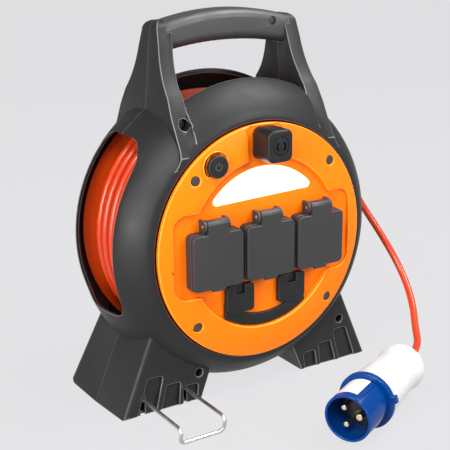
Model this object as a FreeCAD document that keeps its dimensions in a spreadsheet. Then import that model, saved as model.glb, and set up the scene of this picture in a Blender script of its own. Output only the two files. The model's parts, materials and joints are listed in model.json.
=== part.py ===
"""Extension cord reel: housing, drum, sprung outlet covers, wire stand, cord and plug.

Frame: +X right, +Y to the back, +Z up, floor at Z = 0. Depths are measured from the orange face
plane towards the back, heights from the drum axis. The housing is alike in front of and behind its
parting plane.
"""
import FreeCAD, Part
import math
import os

import Sketcher
from FreeCAD import Placement, Rotation, Vector

AXIS_HEIGHT = 156  # drum axis above the floor
HALF_DEPTH = 71  # orange face plane to the parting plane of the shells
WALL = 3  # wall of the mouldings
GAP = 0.3  # clearance between parts that move on each other
PAST = 1  # how far a cutter runs past the piece that it cuts
RUNNING_FIT = 0.03  # radial clearance of turned parts on their pins
FACE_RADIUS = 114  # orange face plate
FACE_GAP = 1.5  # ring gap between the face plate and the housing
LIP_SET = 3  # housing lip behind the face plane
LIP_INNER = 118.8  # outer edge of the lip's flat ring
LIP_STEP = 1  # depth of the chamfer between that ring and the crease
LIP_RADIUS = 121.6  # crease between the lip and the cheek
CHEEK_BEND = 69  # radius of the cheek's section
RIM_DEPTH = 32  # edge of the side windows and of the top gap
RIM_RADIUS = 143.7  # housing radius at the window edge
BELLY_RADIUS = 151.3  # housing radius at the parting plane
CROWN_RADIUS = 151.8  # housing radius at the top gap, between the legs
CROWN_BEND = 73  # radius of the crown's section
WINDOW_TOP = 104.3  # upper edge of the side windows above the axis
WINDOW_BOTTOM = 61  # lower edge of the side windows below the axis
WINDOW_CORNER = 16  # corner radius of the side windows
WINDOW_SHOULDER = 27  # corner radius at the top of the side windows
TOP_GAP_HALF = 63  # half width of the gap between the legs
TOP_GAP_CORNER = 8  # corner radius of that gap
LEG_ROOT = 90  # start of the legs above the axis
LEG_TOP = 205.5  # top of the legs above the axis
LEG_OUTER_LOW = 85  # outer face of a leg, lower end
LEG_FLARE = 30  # radius of the leg's foot where it flares into the lip
LEG_OUTER_TOP = 77  # outer face of a leg, upper end
LEG_KNEE = 124  # height where the outer face starts to lean
LEG_INNER_LOW = 67.5  # inner face of a leg, lower end
LEG_INNER_TOP = 62  # inner face of a leg, upper end
LEG_INNER_KNEE = 150  # height where the inner face starts to lean
LEG_FRONT_LOW = 3  # front edge of a leg at its root, depth
LEG_FRONT_MID = 30  # front edge of a leg, depth at the start of its bend
LEG_MID = 140  # height of the start of that bend
LEG_FRONT_HIGH = 52  # front edge of a leg, depth at the end of its bend
LEG_HIGH = 183  # height of the end of that bend
LEG_BEND = 89  # radius of that bend
LEG_TIP_DEPTH = 59  # front edge of a leg at its top, depth
LEG_TIP_ROUND = 10  # rounding of the leg's top, seen from the side
LEG_CORNER = 8  # rounding of the leg's top outer corner, seen from the front
GRIP_REACH = 68  # half length of the grip, with its ends in the legs
GRIP_HALF_DEPTH = 15  # half depth of the grip
GRIP_TOP_END = 204.5  # top of the grip at its ends
GRIP_BOTTOM = 184  # underside of the grip at its middle
GRIP_BOTTOM_END = 177  # underside of the grip at its ends
GRIP_TOP_BEND = 262  # radius of the grip's top
GRIP_BOTTOM_BEND = 334  # radius of the grip's underside
GRIP_ROUND = 9  # rounding of the grip's long edges
GRIP_RIB_HALF = 44  # half length of the ribbed underside
GRIP_RIB_PITCH = 8  # pitch of the ribs
GRIP_RIB_CUT = 1.4  # depth of the grooves between the ribs
GRIP_RIB_SLOT = 2.4  # width of those grooves
FOOT_ROOT = 70  # start of the feet below the axis
FOOT_FRONT_TOP = 20  # front face of a foot at its root, depth
FOOT_FRONT_LOW = 17.5  # front face of a foot at the floor, depth
FOOT_REAR = 11  # rear face of a foot before the back end of the mirrored face plane
FOOT_WAIST_TOP = 113  # side of a foot at the parting plane and its root, across
FOOT_WAIST_LOW = 149  # side of a foot at the parting plane and the floor, across
FOOT_HEEL_TOP = 102  # rear corner of a foot at its root, across
FOOT_HEEL_LOW = 149.5  # rear corner of a foot at the floor, across
FOOT_TOE_ROUND = 4  # rounding of a foot's front edge on the floor
FOOT_HEEL_ROUND = 12  # rounding of a foot's rear edge on the floor
FOOT_SIDE_TOP = 109  # front corner of a foot at its root, across
FOOT_SIDE_LOW = 145.5  # front corner of a foot at the floor, across
FOOT_INNER = 49  # inner face of a foot, across
FOOT_INNER_FLOOR = 61.5  # inner edge of a foot at the floor, across
FOOT_INNER_KNEE = 31  # height where the inner face starts to lean out
FOOT_CORNER = 6  # rounding of the front corner
POCKET_DEEP = 3.5  # depth of the pockets in the front of the feet
POCKET_ROUND = 3  # rounding of the pockets' upper corners
POCKET_A_HIGH = 36  # outer pocket above the floor
POCKET_A_TOP_IN = 101.8  # outer pocket, upper inner corner, across
POCKET_A_TOP_OUT = 118  # outer pocket, upper outer corner
POCKET_A_LOW_IN = 111.1  # outer pocket, lower inner corner
POCKET_A_LOW_OUT = 131.2  # outer pocket, lower outer corner
POCKET_B_HIGH = 25  # middle pocket above the floor
POCKET_B_TOP_IN = 83.1  # middle pocket, upper inner corner
POCKET_B_TOP_OUT = 98.2  # middle pocket, upper outer corner
POCKET_B_LOW_IN = 85.9  # middle pocket, lower inner corner
POCKET_B_LOW_OUT = 105.2  # middle pocket, lower outer corner
POCKET_C_HIGH = 19  # inner pocket above the floor
POCKET_C_TOP_IN = 63.5  # inner pocket, upper inner corner
POCKET_C_TOP_OUT = 78  # inner pocket, upper outer corner
POCKET_C_LOW_IN = 65.7  # inner pocket, lower inner corner
POCKET_C_LOW_OUT = 80.5  # inner pocket, lower outer corner
SCREW_BOSS = 5  # radius of the screw bosses
SHOULDER_BOSS = 6.3  # radius of the shoulder's screw boss
SHOULDER_WELL = 5.3  # radius of the well over the shoulder's screw
SCREW_WELL = 4.2  # radius of the wells over the screw heads
SCREW_HEAD = 3.5  # radius of the screw heads
SCREW_HEAD_HIGH = 2.6  # height of the screw heads
SCREW_SHANK = 1.9  # radius of the screw shanks
SCREW_WELL_DEEP = 9  # depth of the screw heads below the surface
SCREW_BITE = 12  # length that a screw runs into the rear half
SHOULDER_SCREW_X = 73.8  # shoulder screw, across to the left
SHOULDER_SCREW_Z = 117  # shoulder screw above the axis
LEFT_FOOT_SCREW_X = 62.4  # left foot screw, across to the left
LEFT_FOOT_SCREW_Z = 126.9  # left foot screw below the axis
RIGHT_FOOT_SCREW_X = 109.8  # right foot screw, across to the right
RIGHT_FOOT_SCREW_Z = 109.3  # right foot screw below the axis
GRIP_SCREW_X = 49  # grip screw, across to the right
GRIP_SCREW_Z = 199.6  # grip screw above the axis
BACK_RING = 96  # radius of the ring groove in the back wall
BACK_RING_WIDE = 5  # width of that groove
BACK_RING_DEEP = 1.5  # depth of that groove
AXLE_RADIUS = 6  # steel axle
AXLE_FRONT = 64  # front end of the axle, depth
AXLE_BOSS = 17  # radius of the boss in the back wall
AXLE_BOSS_LONG = 17  # length of that boss
NUT_HALF = 9.5  # half width of the axle nut
NUT_HIGH = 6  # height of the axle nut
NUT_WELL = 14  # radius of the well round the nut
WASHER_RADIUS = 15  # thrust washer
WASHER_THICK = 1.5  # thickness of the thrust washer
BUSH_WALL = 2  # wall of the bush
BUSH_LENGTH = 46  # length of the bush
HUB_WALL = 4  # wall of the hub round the bush
DRUM_RADIUS = 98  # barrel that the cord is wound on
FLANGE_RADIUS = 130.5  # drum flanges
FLANGE_SET = 19.5  # front flange behind the face plane
FLANGE_THICK = 2.5  # thickness of the flanges
DRUM_MOUTH = 90  # opening of the front flange
SKIRT_RADIUS = 111  # ring that carries the face plate
FACE_RISE = 5.5  # inner edge of the orange ring before the face plane
FACE_RIM = 0.8  # outer edge of the orange ring before the face plane
FACE_BEND = 120  # radius of the ring's domed section
DOME_RADIUS = 83.5  # inner edge of the orange ring
RECESS_FLOOR = 0.7  # floor of the recess before the face plane
FACE_BACK = 3.2  # back of the face plate behind the face plane
RECESS_RADIUS = 82  # round part of the recess, at its floor
RECESS_CORNER = 14  # corner radius of the recess's band
BAND_HALF = 100  # half width of the band of the recess
BAND_TOP = 40  # upper edge of the band above the axis
BAND_BOTTOM = 40.5  # lower edge of the band below the axis
KNOB_POCKET_HALF = 20  # half width of the knob's pocket
KNOB_POCKET_LOW = 78  # lower edge of that pocket above the axis
KNOB_POCKET_HIGH = 112.2  # upper edge of that pocket
KNOB_POCKET_CORNER = 6  # corner radius of that pocket
FACE_SCREW_X = 75.3  # face screws, across
FACE_SCREW_Z = 69.8  # face screws above and below the axis
FACE_SCREW_WELL = 4.75  # radius of the wells over the face screws
FACE_WELL_DEPTH = 3.5  # surface at the face screws before the face plane
FACE_SCREW_SET = 0.6  # face screw heads below that surface
FACE_SCREW_HEAD = 4.2  # radius of the face screw heads
FACE_BOSS = 7  # radius of the bosses behind the face plate
LENS_RADIUS = 73.5  # arc of the lamp lens
LENS_BASE = 45  # lower edge of the lens above the axis, at its middle
LENS_TILT = 2  # rise of that edge from the middle to the right end
LENS_FRONT = 1.5  # front of the lens before the face plane
LENS_SEAT = 1.2  # depth of the lens's seat in the recess floor
LENS_TIP_ROUND = 3.5  # rounding of the tips of the lens
LENS_RIM = 4  # width of the seat under the lens
TRAY_DEEP = 15  # depth of the lamp tray behind the recess
TRAY_WALL = 1.5  # wall of the lamp tray
BOARD_THICK = 1.6  # lamp circuit board
BUTTON_X = 54.1  # lamp button, across to the left
BUTTON_Z = 81  # lamp button above the axis
BUTTON_RADIUS = 10.4  # lamp button
COLLAR_RISE = 4.6  # front of the button's collar before the face plane
ISLAND_RADIUS = 14  # collar round the button
BUTTON_FRONT = 3.9  # how far the button stands out of its collar
BUTTON_TRAVEL = 1.8  # travel of the button
DISH_RADIUS = 12.6  # dish round the button
DISH_DEEP = 1.6  # depth of the dish
BUTTON_NECK = 4  # radius of the button's neck
SWITCH_HALF = 7  # half width of the switch body
SWITCH_DEEP = 9  # depth of the switch body
SPRING_WIRE = 0.4  # wire radius of the button spring
SPRING_RADIUS = 5.6  # radius of the button spring
SPRING_TURNS = 4  # turns of the button spring
SOCKET_PITCH = 58.2  # pitch of the outlets
LID_HALF = 26.9  # half width of a cover
LID_TOP = 21.5  # upper edge of the covers above the axis
LID_BOTTOM = 31.5  # lower edge of the covers below the axis
LID_FRONT = 14.1  # front of the covers before the face plane
LID_THICK = 4  # thickness of the covers
LID_CORNER = 5  # corner radius of the covers
HOOD_ROUND = 4.5  # rounding of the hood over the hinge
LID_EDGE = 1.2  # rounding of the front edge of the covers
FRAME_MARGIN = 0.5  # how far the outlet frames stand out round the covers
TAB_HALF = 11  # half width of the cover's hinge tab
EAR_OUTER = 13.5  # half width over the hinge ears
HINGE_DEPTH = 7.3  # hinge axis before the face plane
KNUCKLE_RADIUS = 5.6  # radius of the hinge tab
EAR_RADIUS = 5.9  # radius of the hinge ears
HINGE_PIN_RADIUS = 1.5  # hinge pin
SPRING_SLOT = 4.5  # half width of the slot for the cover spring
COVER_SPRING_RADIUS = 3  # cover spring
LIP_HALF = 7  # half width of the finger lip
LIP_HIGH = 2  # height of the finger lip
INSERT_RADIUS = 22.5  # outside of the outlet insert
SOCKET_BORE = 19.5  # bore of the outlet
SOCKET_DEEP = 17.5  # depth of the outlet
INSERT_FLOOR = 5  # floor of the outlet insert
INSERT_SET = 1  # outlet insert behind the frame's front
PIN_PITCH = 19  # distance of the two contacts
PIN_HOLE = 2.7  # radius of the contact holes
CLIP_HALF = 2.5  # half width of the earth clips
CLIP_THICK = 1.2  # thickness of the earth clips
SEAL_OUTER = 24  # outer radius of the cover seal
SEAL_INNER = 21  # inner radius of the cover seal
SEAL_GROOVE = 1.5  # depth of the seal's groove
SEAL_PROUD = 0.2  # how far the seal stands out
DOCK_INNER = 14.4  # inner side of the bracket's blocks, across
DOCK_OUTER = 45  # outer side of those blocks
DOCK_TOP = 36  # upper side of those blocks below the axis
DOCK_BOTTOM = 63.5  # lower side of those blocks
DOCK_FRONT = 6  # front of those blocks before the face plane
DOCK_BAR_FRONT = 4  # front of the bracket's bar before the face plane
DOCK_BAR_INNER = 69.8  # inner radius of the bar
DOCK_BAR_OUTER = 81.3  # outer radius of the bar
DOCK_BAR_HALF = 46  # half length of the bar, across
DOCK_CORNER = 3  # rounding of the blocks
DOCK_CUT = 4  # bevel of the blocks' lower outer corners
DOCK_SLOT_HALF = 5  # half width of the slots in the blocks
DOCK_SLOT_HIGH = 9  # height of those slots
DOCK_SLOT_DEEP = 3  # depth of those slots
KNOB_Z = 96.6  # winding knob above the axis
KNOB_HALF_WIDE = 13.5  # half width of the knob
KNOB_HALF_HIGH = 15.2  # half height of the knob
KNOB_FRONT = 28  # front of the knob before the face plane
KNOB_SET = 1.2  # gap between the knob and the recess floor
KNOB_STEP = 2.5  # bevel round the knob's front
KNOB_CORNER = 7  # corner radius of the knob
KNOB_CAP_RADIUS = 8.2  # round cap in the knob
KNOB_CAP_DEEP = 3  # depth of that cap
KNOB_PIN_RADIUS = 4  # spindle of the knob
KNOB_PIN_HEAD = 7.5  # head of the spindle
CORD_RADIUS = 3.75  # three core cord
CORD_LAST_RUN = 34  # straight run of the free cord behind the plug
WINDING_RADIUS = 122  # centre line of the outer turns
WINDING_FRONT = 28.5  # first outer turn, depth
WINDING_PITCH = 12.2  # pitch of the outer turns
WINDING_CORE_FRONT = 23.5  # front of the wound core, depth
WINDING_CORE_BACK = 118.5  # back of the wound core, depth
WINDING_START = 90  # start of the outer turns, degrees round the axis
GLAND_RADIUS = 9  # strain relief inside the drum
GLAND_LENGTH = 14  # length of the strain relief
TERMINAL_HALF = 14  # half length of the terminal block
TERMINAL_DEEP = 12  # depth of the terminal block
TERMINAL_HIGH = 10  # height of the terminal block
TERMINAL_LOW = 40  # lower edge of the terminal block below the axis
TERMINAL_PITCH = 8.4  # pitch of the terminal screws
WIRE_RADIUS = 1.75  # wire of the stand
STAND_LEFT = 123.4  # left arm of the stand, across to the left
STAND_RIGHT = 77.8  # right arm of the stand
STAND_ARM_HIGH = 16.5  # arms of the stand above the floor
STAND_REACH = 55  # front of the stand before the face plane
STAND_SLANT = 4  # how far the stand's end leans back
STAND_BEND = 5  # bend radius of the wire
STAND_FLOOR_GAP = 0.3  # stand above the floor
STAND_TRAVEL = 55  # travel of the stand
STOP_RADIUS = 3.6  # stop rings on the arms
STOP_LENGTH = 4  # length of the stop rings
GUIDE_WALL = 2  # wall of the guide
GUIDE_GAP = 0.35  # clearance of the wire in the guide
PLUG_X = -0.37  # middle of the plug's front
PLUG_Y = -172.74  # middle of the plug's front
PLUG_LIFT = 0.887  # climb of the plug's axis from its front to its collar
PLUG_HEADING = 25.29  # turn of the plug's axis out of the X axis, degrees
SHROUD_RADIUS = 22.34  # blue shroud
SHROUD_WALL = 2.4  # wall of the shroud
SHROUD_DEEP = 32  # depth of the shroud
COLLAR_RADIUS = 27.04  # collar behind the shroud
COLLAR_FRONT = 38.5  # front of the collar
COLLAR_BACK = 44  # back of the collar
COLLAR_ROUND = 1.5  # rounding of the collar
LUG_REACH = 30.5  # top of the collar's lug, from the plug's axis
LUG_HALF = 3.6  # half width of the lug
LUG_ANGLE = 16  # place of the lug above the plug's side, degrees
KEY_ANGLE = 67  # place of the key ridge above the plug's side, degrees
KEY_HALF = 1.6  # half width of the shroud's key ridge
KEY_HIGH = 1.4  # height of the key ridge
KEY_LENGTH = 34  # length of the key ridge
BODY_FRONT_RADIUS = 25.2  # white body behind the collar
WAIST_RADIUS = 21.6  # waist of the white body
WAIST_PLACE = 105  # place of the waist from the plug's front
FLARE_RADIUS = 23.6  # flared rear of the white body
FLARE_PLACE = 117  # start of that flare's widest part
BODY_ROUND = 9  # rounding of the rear of the body
BODY_LENGTH = 129.5  # rear of the body from the plug's front
NUT_RADIUS = 9.5  # cord nut
NUT_BACK = 134  # rear of the cord nut
PIN_CIRCLE = 9.2  # centres of the pins from the plug's axis
LIVE_PIN = 2.4  # radius of the two smaller pins
EARTH_PIN = 3  # radius of the larger pin
PIN_FRONT = 5  # front of the pins from the plug's front


class Size:
    """A length with the formula that binds it to the sheet."""

    def __init__(self, value, formula):
        self.value = float(value)
        self.formula = formula

    def joined(self, sign, other, value):
        return Size(value, "(%s %s %s)" % (self.formula, sign, sized(other).formula))

    def __add__(self, other):
        return self.joined("+", other, self.value + sized(other).value)

    def __sub__(self, other):
        return self.joined("-", other, self.value - sized(other).value)

    def __mul__(self, other):
        return self.joined("*", other, self.value * sized(other).value)

    def __truediv__(self, other):
        return self.joined("/", other, self.value / sized(other).value)

    def __neg__(self):
        return Size(-self.value, "(0 - %s)" % self.formula)

    def __radd__(self, other):
        return sized(other) + self

    def __rsub__(self, other):
        return sized(other) - self

    def __rmul__(self, other):
        return sized(other) * self


def sized(number):
    """A Size from a plain number, or the Size itself."""
    if isinstance(number, Size):
        return number
    return Size(number, "%r" % float(number))


def root(size):
    """Square root of a Size."""
    return Size(math.sqrt(size.value), "sqrt(%s)" % size.formula)


class Sizes:
    """The driving sizes, by name."""


doc = FreeCAD.newDocument("cord_reel")
sheet = doc.addObject("Spreadsheet::Sheet", "sizes")
dim = Sizes()
SIZES = [(name.lower(), number) for name, number in list(globals().items())
         if name.isupper() and isinstance(number, (int, float))]
for row, (name, number) in enumerate(SIZES, start=1):
    sheet.set("A%d" % row, name)
    sheet.set("B%d" % row, repr(number))
    sheet.setAlias("B%d" % row, name)
    setattr(dim, name, Size(number, "sizes.%s" % name))
doc.recompute()

ZERO = sized(0)
FAR = dim.belly_radius + dim.half_depth
FACE_Y = (dim.stand_reach + dim.lip_set) / 2 - dim.half_depth
AXIS_Z = dim.axis_height
TO_Y = Rotation(Vector(1, 0, 0), -90)
TO_X = Rotation(Vector(0, 1, 0), 90)
nodes = []


def at_depth(depth):
    """Y of a depth behind the orange face plane."""
    return FACE_Y + depth


def above_axis(height):
    """Z of a height over the drum axis."""
    return AXIS_Z + height


def mirrored(depth):
    """Depth of the same place in the rear half."""
    return dim.half_depth * 2 - depth


def bind(thing, prop, size):
    thing.setExpression(prop, size.formula)


def place(thing, x, y, z, turn=Rotation()):
    """Place an object and tie its place to the sheet."""
    x, y, z = sized(x), sized(y), sized(z)
    thing.Placement = Placement(Vector(x.value, y.value, z.value), turn)
    bind(thing, "Placement.Base.x", x)
    bind(thing, "Placement.Base.y", y)
    bind(thing, "Placement.Base.z", z)
    return thing


def node(thing, label):
    """Keep an object as a sub-part with a name of its own."""
    thing.Label = label
    nodes.append(thing)
    return thing


def box(name, x, y, z):
    """Block between two limits on each axis."""
    thing = doc.addObject("Part::Box", name)
    for prop, (low, high) in zip(("Length", "Width", "Height"), (x, y, z)):
        span = sized(high) - low
        setattr(thing, prop, span.value)
        bind(thing, prop, span)
    return place(thing, x[0], y[0], z[0])


def rod(name, axis, radius, start, length):
    """Cylinder along an axis."""
    thing = doc.addObject("Part::Cylinder", name)
    radius, length = sized(radius), sized(length)
    thing.Radius = radius.value
    thing.Height = length.value
    bind(thing, "Radius", radius)
    bind(thing, "Height", length)
    return place(thing, *start, {"x": TO_X, "y": TO_Y, "z": Rotation()}[axis])


def drum_rod(name, radius, near, far):
    """Cylinder on the drum axis between two depths."""
    return rod(name, "y", radius, (ZERO, at_depth(near), AXIS_Z), far - near)


def spot_rod(name, radius, x, height, near, far):
    """Cylinder along the depth at a place on the face."""
    return rod(name, "y", radius, (x, at_depth(near), above_axis(height)), far - near)


def spot_cone(name, near_radius, far_radius, x, height, near, far):
    """Cone along the depth at a place on the face."""
    thing = doc.addObject("Part::Cone", name)
    span = far - near
    for prop, size in (("Radius1", near_radius), ("Radius2", far_radius), ("Height", span)):
        setattr(thing, prop, size.value)
        bind(thing, prop, size)
    return place(thing, x, at_depth(near), above_axis(height), TO_Y)


def cut(name, base, *tools):
    """Base less the tools."""
    thing = doc.addObject("Part::Cut", name + "_cut")
    thing.Base = base
    thing.Tool = tools[0] if len(tools) == 1 else fuse(name + "_tools", *tools)
    return thing


def fuse(name, *parts):
    thing = doc.addObject("Part::MultiFuse", name + "_fused")
    thing.Shapes = list(parts)
    return thing


def common(name, first, second):
    thing = doc.addObject("Part::Common", name + "_common")
    thing.Base = first
    thing.Tool = second
    return thing


def group(name, *parts):
    """Separate solids of one sub-part."""
    thing = doc.addObject("Part::Compound", name + "_group")
    thing.Links = list(parts)
    return thing


def ring(name, outer, inner, near, far):
    """Ring on the drum axis."""
    return cut(name, drum_rod(name + "_outer", outer, near, far),
               drum_rod(name + "_inner", inner, near, far))


def new_body(name):
    return doc.addObject("PartDesign::Body", name)


def outline(body, plane, points, name="outline", offset=None):
    """Closed outline in one of the body's origin planes.

    A point is (across, up) or, where the next side is an arc, (across, up, radius, way), with way
    +1 for an arc that turns left and -1 for one that turns right.
    """
    sketch = body.newObject("Sketcher::SketchObject", body.Name + "_" + name)
    datum = [item for item in body.Origin.OriginFeatures if item.Role == plane][0]
    sketch.AttachmentSupport = [(datum, "")]
    sketch.MapMode = "FlatFace"
    if offset is not None:
        bind(sketch, "AttachmentOffset.Base.z", offset)
    starts = []
    ends = []
    for number, point in enumerate(points):
        following = points[(number + 1) % len(points)]
        first = Vector(sized(point[0]).value, sized(point[1]).value, 0)
        last = Vector(sized(following[0]).value, sized(following[1]).value, 0)
        if len(point) == 2:
            index = sketch.addGeometry(Part.LineSegment(first, last), False)
            starts.append((index, 1))
            ends.append((index, 2))
            continue
        radius, way = sized(point[2]), point[3]
        chord = last - first
        side = Vector(-chord.y, chord.x, 0).normalize()
        rise = math.sqrt(radius.value ** 2 - chord.Length ** 2 / 4)
        centre = (first + last) * 0.5 + side * rise * way
        if way < 0:
            first, last = last, first
        from_angle = math.atan2(first.y - centre.y, first.x - centre.x)
        to_angle = math.atan2(last.y - centre.y, last.x - centre.x)
        circle = Part.Circle(centre, Vector(0, 0, 1), radius.value)
        index = sketch.addGeometry(Part.ArcOfCircle(circle, from_angle, to_angle), False)
        starts.append((index, 1 if way > 0 else 2))
        ends.append((index, 2 if way > 0 else 1))
        rule = sketch.addConstraint(Sketcher.Constraint("Radius", index, radius.value))
        bind(sketch, "Constraints[%d]" % rule, radius)
    for number, point in enumerate(points):
        sketch.addConstraint(Sketcher.Constraint("Coincident", *ends[number - 1], *starts[number]))
        for kind, size in (("DistanceX", sized(point[0])), ("DistanceY", sized(point[1]))):
            rule = sketch.addConstraint(Sketcher.Constraint(kind, -1, 1, *starts[number], size.value))
            bind(sketch, "Constraints[%d]" % rule, size)
    return sketch


def plate(name, plane, points, low, high):
    """Outline extruded square to its plane, between two limits."""
    body = new_body(name)
    sketch = outline(body, plane, points)
    pad = body.newObject("PartDesign::Pad", name + "_pad")
    pad.Profile = sketch
    span = sized(high) - low
    pad.Length = span.value
    bind(pad, "Length", span)
    body.Tip = pad
    if plane == "XZ_Plane":
        place(body, ZERO, high, ZERO)
    elif plane == "YZ_Plane":
        place(body, low, ZERO, ZERO)
    else:
        place(body, ZERO, ZERO, low)
    doc.recompute()
    return body


def turned(name, points, spin=None):
    """Outline of (radius, along) turned about the drum axis, or about a placed axis."""
    body = new_body(name)
    sketch = outline(body, "XY_Plane", points)
    turn = body.newObject("PartDesign::Revolution", name + "_turn")
    turn.Profile = sketch
    turn.ReferenceAxis = (sketch, ["V_Axis"])
    turn.Angle = 360
    body.Tip = turn
    if spin is None:
        place(body, ZERO, FACE_Y, AXIS_Z)
    else:
        place(body, *spin)
    doc.recompute()
    return body


def rounded(body, radius, chosen):
    """Round the edges of a body that the test picks, in the body's own frame."""
    base = body.Tip
    picked = ["Edge%d" % n for n, edge in enumerate(base.Shape.Edges, start=1) if chosen(edge)]
    if not picked:
        raise RuntimeError("no edge to round on " + body.Name)
    smooth = body.newObject("PartDesign::Fillet", body.Name + "_round")
    smooth.Base = (base, picked)
    smooth.Radius = radius.value
    bind(smooth, "Radius", radius)
    body.Tip = smooth
    doc.recompute()
    return body


def middle(edge):
    """Point half way along an edge."""
    first, last = edge.ParameterRange
    return edge.valueAt((first + last) / 2)


def along(edge, axis):
    """Whether an edge is straight and runs along the axis."""
    if len(edge.Vertexes) != 2:
        return False
    step = edge.Vertexes[1].Point - edge.Vertexes[0].Point
    return step.Length > 0 and abs(abs(step.normalize().dot(axis)) - 1) < 1e-6


AXIS_X = Vector(1, 0, 0)
AXIS_Y = Vector(0, 1, 0)
AXIS_UP = Vector(0, 0, 1)


def both_sides(name, make):
    """One piece on the left and one on the right."""
    return [make(name + "_left", -1), make(name + "_right", 1)]


def limits(side, inner, outer):
    """Limits across for a piece whose inner and outer faces are given, on one side."""
    if side > 0:
        return (inner, outer)
    return (-outer, -inner)


# Housing: barrel, crown, legs and feet of one half, solid or as the space inside the walls

RIM_STEP = dim.belly_radius - dim.rim_radius
RIM_SPAN = dim.half_depth - dim.rim_depth
BELLY_BEND = (RIM_SPAN * RIM_SPAN + RIM_STEP * RIM_STEP) / (RIM_STEP * 2)
RIM_LEAN = 0.5
PARTING_Y = at_depth(dim.half_depth)


def barrel(name, inset):
    """Front half of the barrel, inset from the outer surface."""
    return turned(name, [
        (ZERO, dim.lip_set + inset), (dim.lip_inner - inset, dim.lip_set + inset),
        (dim.lip_radius - inset, dim.lip_set + dim.lip_step + inset, dim.cheek_bend - inset, 1),
        (dim.rim_radius - inset, dim.rim_depth + inset * RIM_LEAN, BELLY_BEND - inset, 1),
        (dim.belly_radius - inset, dim.half_depth),
        (ZERO, dim.half_depth)])


def crown(name, inset):
    """Higher front dome between the legs."""
    dome = turned(name + "_dome", [
        (ZERO, dim.lip_set + inset),
        (dim.lip_inner - inset, dim.lip_set + inset, dim.crown_bend - inset, 1),
        (dim.crown_radius - inset, dim.rim_depth + inset),
        (ZERO, dim.rim_depth + inset)])
    half = dim.leg_inner_low + dim.wall / 2
    limit = box(name + "_limit", (-half, half), (FACE_Y, PARTING_Y), (AXIS_Z + dim.leg_root, AXIS_Z + FAR))
    return common(name, dome, limit)


def leg(name, side, inset):
    """Leg that carries the grip."""
    flare_reach = dim.lip_radius + dim.leg_flare
    flare_across = dim.leg_outer_low + dim.leg_flare
    flare_up = root(flare_reach * flare_reach - flare_across * flare_across)
    share = (dim.lip_radius - inset) / flare_reach
    inner_low = (dim.leg_inner_low + inset) * side
    inner_top = (dim.leg_inner_top + inset) * side
    outer_low = (dim.leg_outer_low - inset) * side
    outer_top = (dim.leg_outer_top - inset) * side
    low = above_axis(flare_up * share)
    top = above_axis(dim.leg_top - inset)
    front = plate(name + "_front", "XZ_Plane", [
        (inner_low, low), (flare_across * share * side, low, dim.leg_flare + inset, -side),
        (outer_low, above_axis(flare_up)), (outer_low, above_axis(dim.leg_knee)),
        (outer_top, top), (inner_top, top), (inner_low, above_axis(dim.leg_inner_knee))],
        FACE_Y, PARTING_Y)
    tip = outer_top.value
    rounded(front, dim.leg_corner - inset, lambda edge: along(edge, AXIS_Y)
            and abs(middle(edge).z - top.value) < 0.01 and abs(middle(edge).x - tip) < 0.01)
    span = limits(side, dim.leg_inner_top, flare_across)
    flank = plate(name + "_flank", "YZ_Plane", [
        (PARTING_Y, low), (at_depth(dim.leg_front_low + inset), low),
        (at_depth(dim.leg_front_low + inset), above_axis(dim.leg_root)),
        (at_depth(dim.leg_front_mid + inset), above_axis(dim.leg_mid), dim.leg_bend, 1),
        (at_depth(dim.leg_front_high + inset), above_axis(dim.leg_high)),
        (at_depth(dim.leg_tip_depth + inset), top), (PARTING_Y, top)], *span)
    behind_tip = PARTING_Y.value - dim.wall.value
    rounded(flank, dim.leg_tip_round - inset, lambda edge: along(edge, AXIS_X)
            and abs(middle(edge).z - top.value) < 0.01 and middle(edge).y < behind_tip)
    return common(name, front, flank)


class FootHalf:
    """Depths and places of the front or the rear half of a foot."""

    def __init__(self, near_top, near_low, corner_top, corner_low, toe, pocket):
        self.near_top = near_top
        self.near_low = near_low
        self.corner_top = corner_top
        self.corner_low = corner_low
        self.toe = toe
        self.pocket = pocket


FRONT_FOOT = FootHalf(dim.foot_front_top, dim.foot_front_low, dim.foot_side_top, dim.foot_side_low,
                      dim.foot_toe_round, dim.pocket_deep)
REAR_FOOT = FootHalf(dim.foot_rear, dim.foot_rear, dim.foot_heel_top, dim.foot_heel_low,
                     dim.foot_heel_round, ZERO)


def foot_section(side, inner, near_depth, corner, waist):
    """Plan of a foot at one height, with its rounded front corner."""
    near = at_depth(near_depth)
    bulge = waist - corner
    run = dim.half_depth - near_depth
    slant = root(bulge * bulge + run * run)
    trim = dim.foot_corner * (slant - bulge) / run
    return [(inner * side, PARTING_Y), (inner * side, near),
            ((corner - trim) * side, near, dim.foot_corner, side),
            ((corner + trim * bulge / slant) * side, near + trim * run / slant),
            (waist * side, PARTING_Y)]


def foot_lean(name, side, inset):
    """Cutter along the leaning inner face of a foot."""
    behind = (dim.foot_inner + inset - dim.past) * side
    low_edge = (dim.foot_inner_floor + inset) * side
    return plate(name, "XZ_Plane", [
        (behind, dim.foot_inner_knee), ((dim.foot_inner + inset) * side, dim.foot_inner_knee),
        (low_edge, ZERO), (low_edge, -dim.wall), (behind, -dim.wall)], FACE_Y, PARTING_Y)


def foot(name, side, half, inset):
    """Splayed foot, from the floor up into the barrel."""
    high = AXIS_Z - dim.foot_root
    splay = (dim.foot_side_low - dim.foot_side_top) / high * inset
    inner = dim.foot_inner + inset
    pocket = half.pocket if inset.value > 0 else ZERO
    body = new_body(name)
    low_section = foot_section(side, inner, half.near_low + pocket + inset, half.corner_low - splay - inset,
                               dim.foot_waist_low - splay - inset)
    high_section = foot_section(side, inner, half.near_top + inset, half.corner_top - inset,
                                dim.foot_waist_top - inset)
    low = outline(body, "XY_Plane", low_section, "low", inset)
    top = outline(body, "XY_Plane", high_section, "high", high)
    loft = body.newObject("PartDesign::AdditiveLoft", name + "_loft")
    loft.Profile = low
    loft.Sections = [top]
    loft.Ruled = True
    body.Tip = loft
    doc.recompute()
    return body


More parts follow.
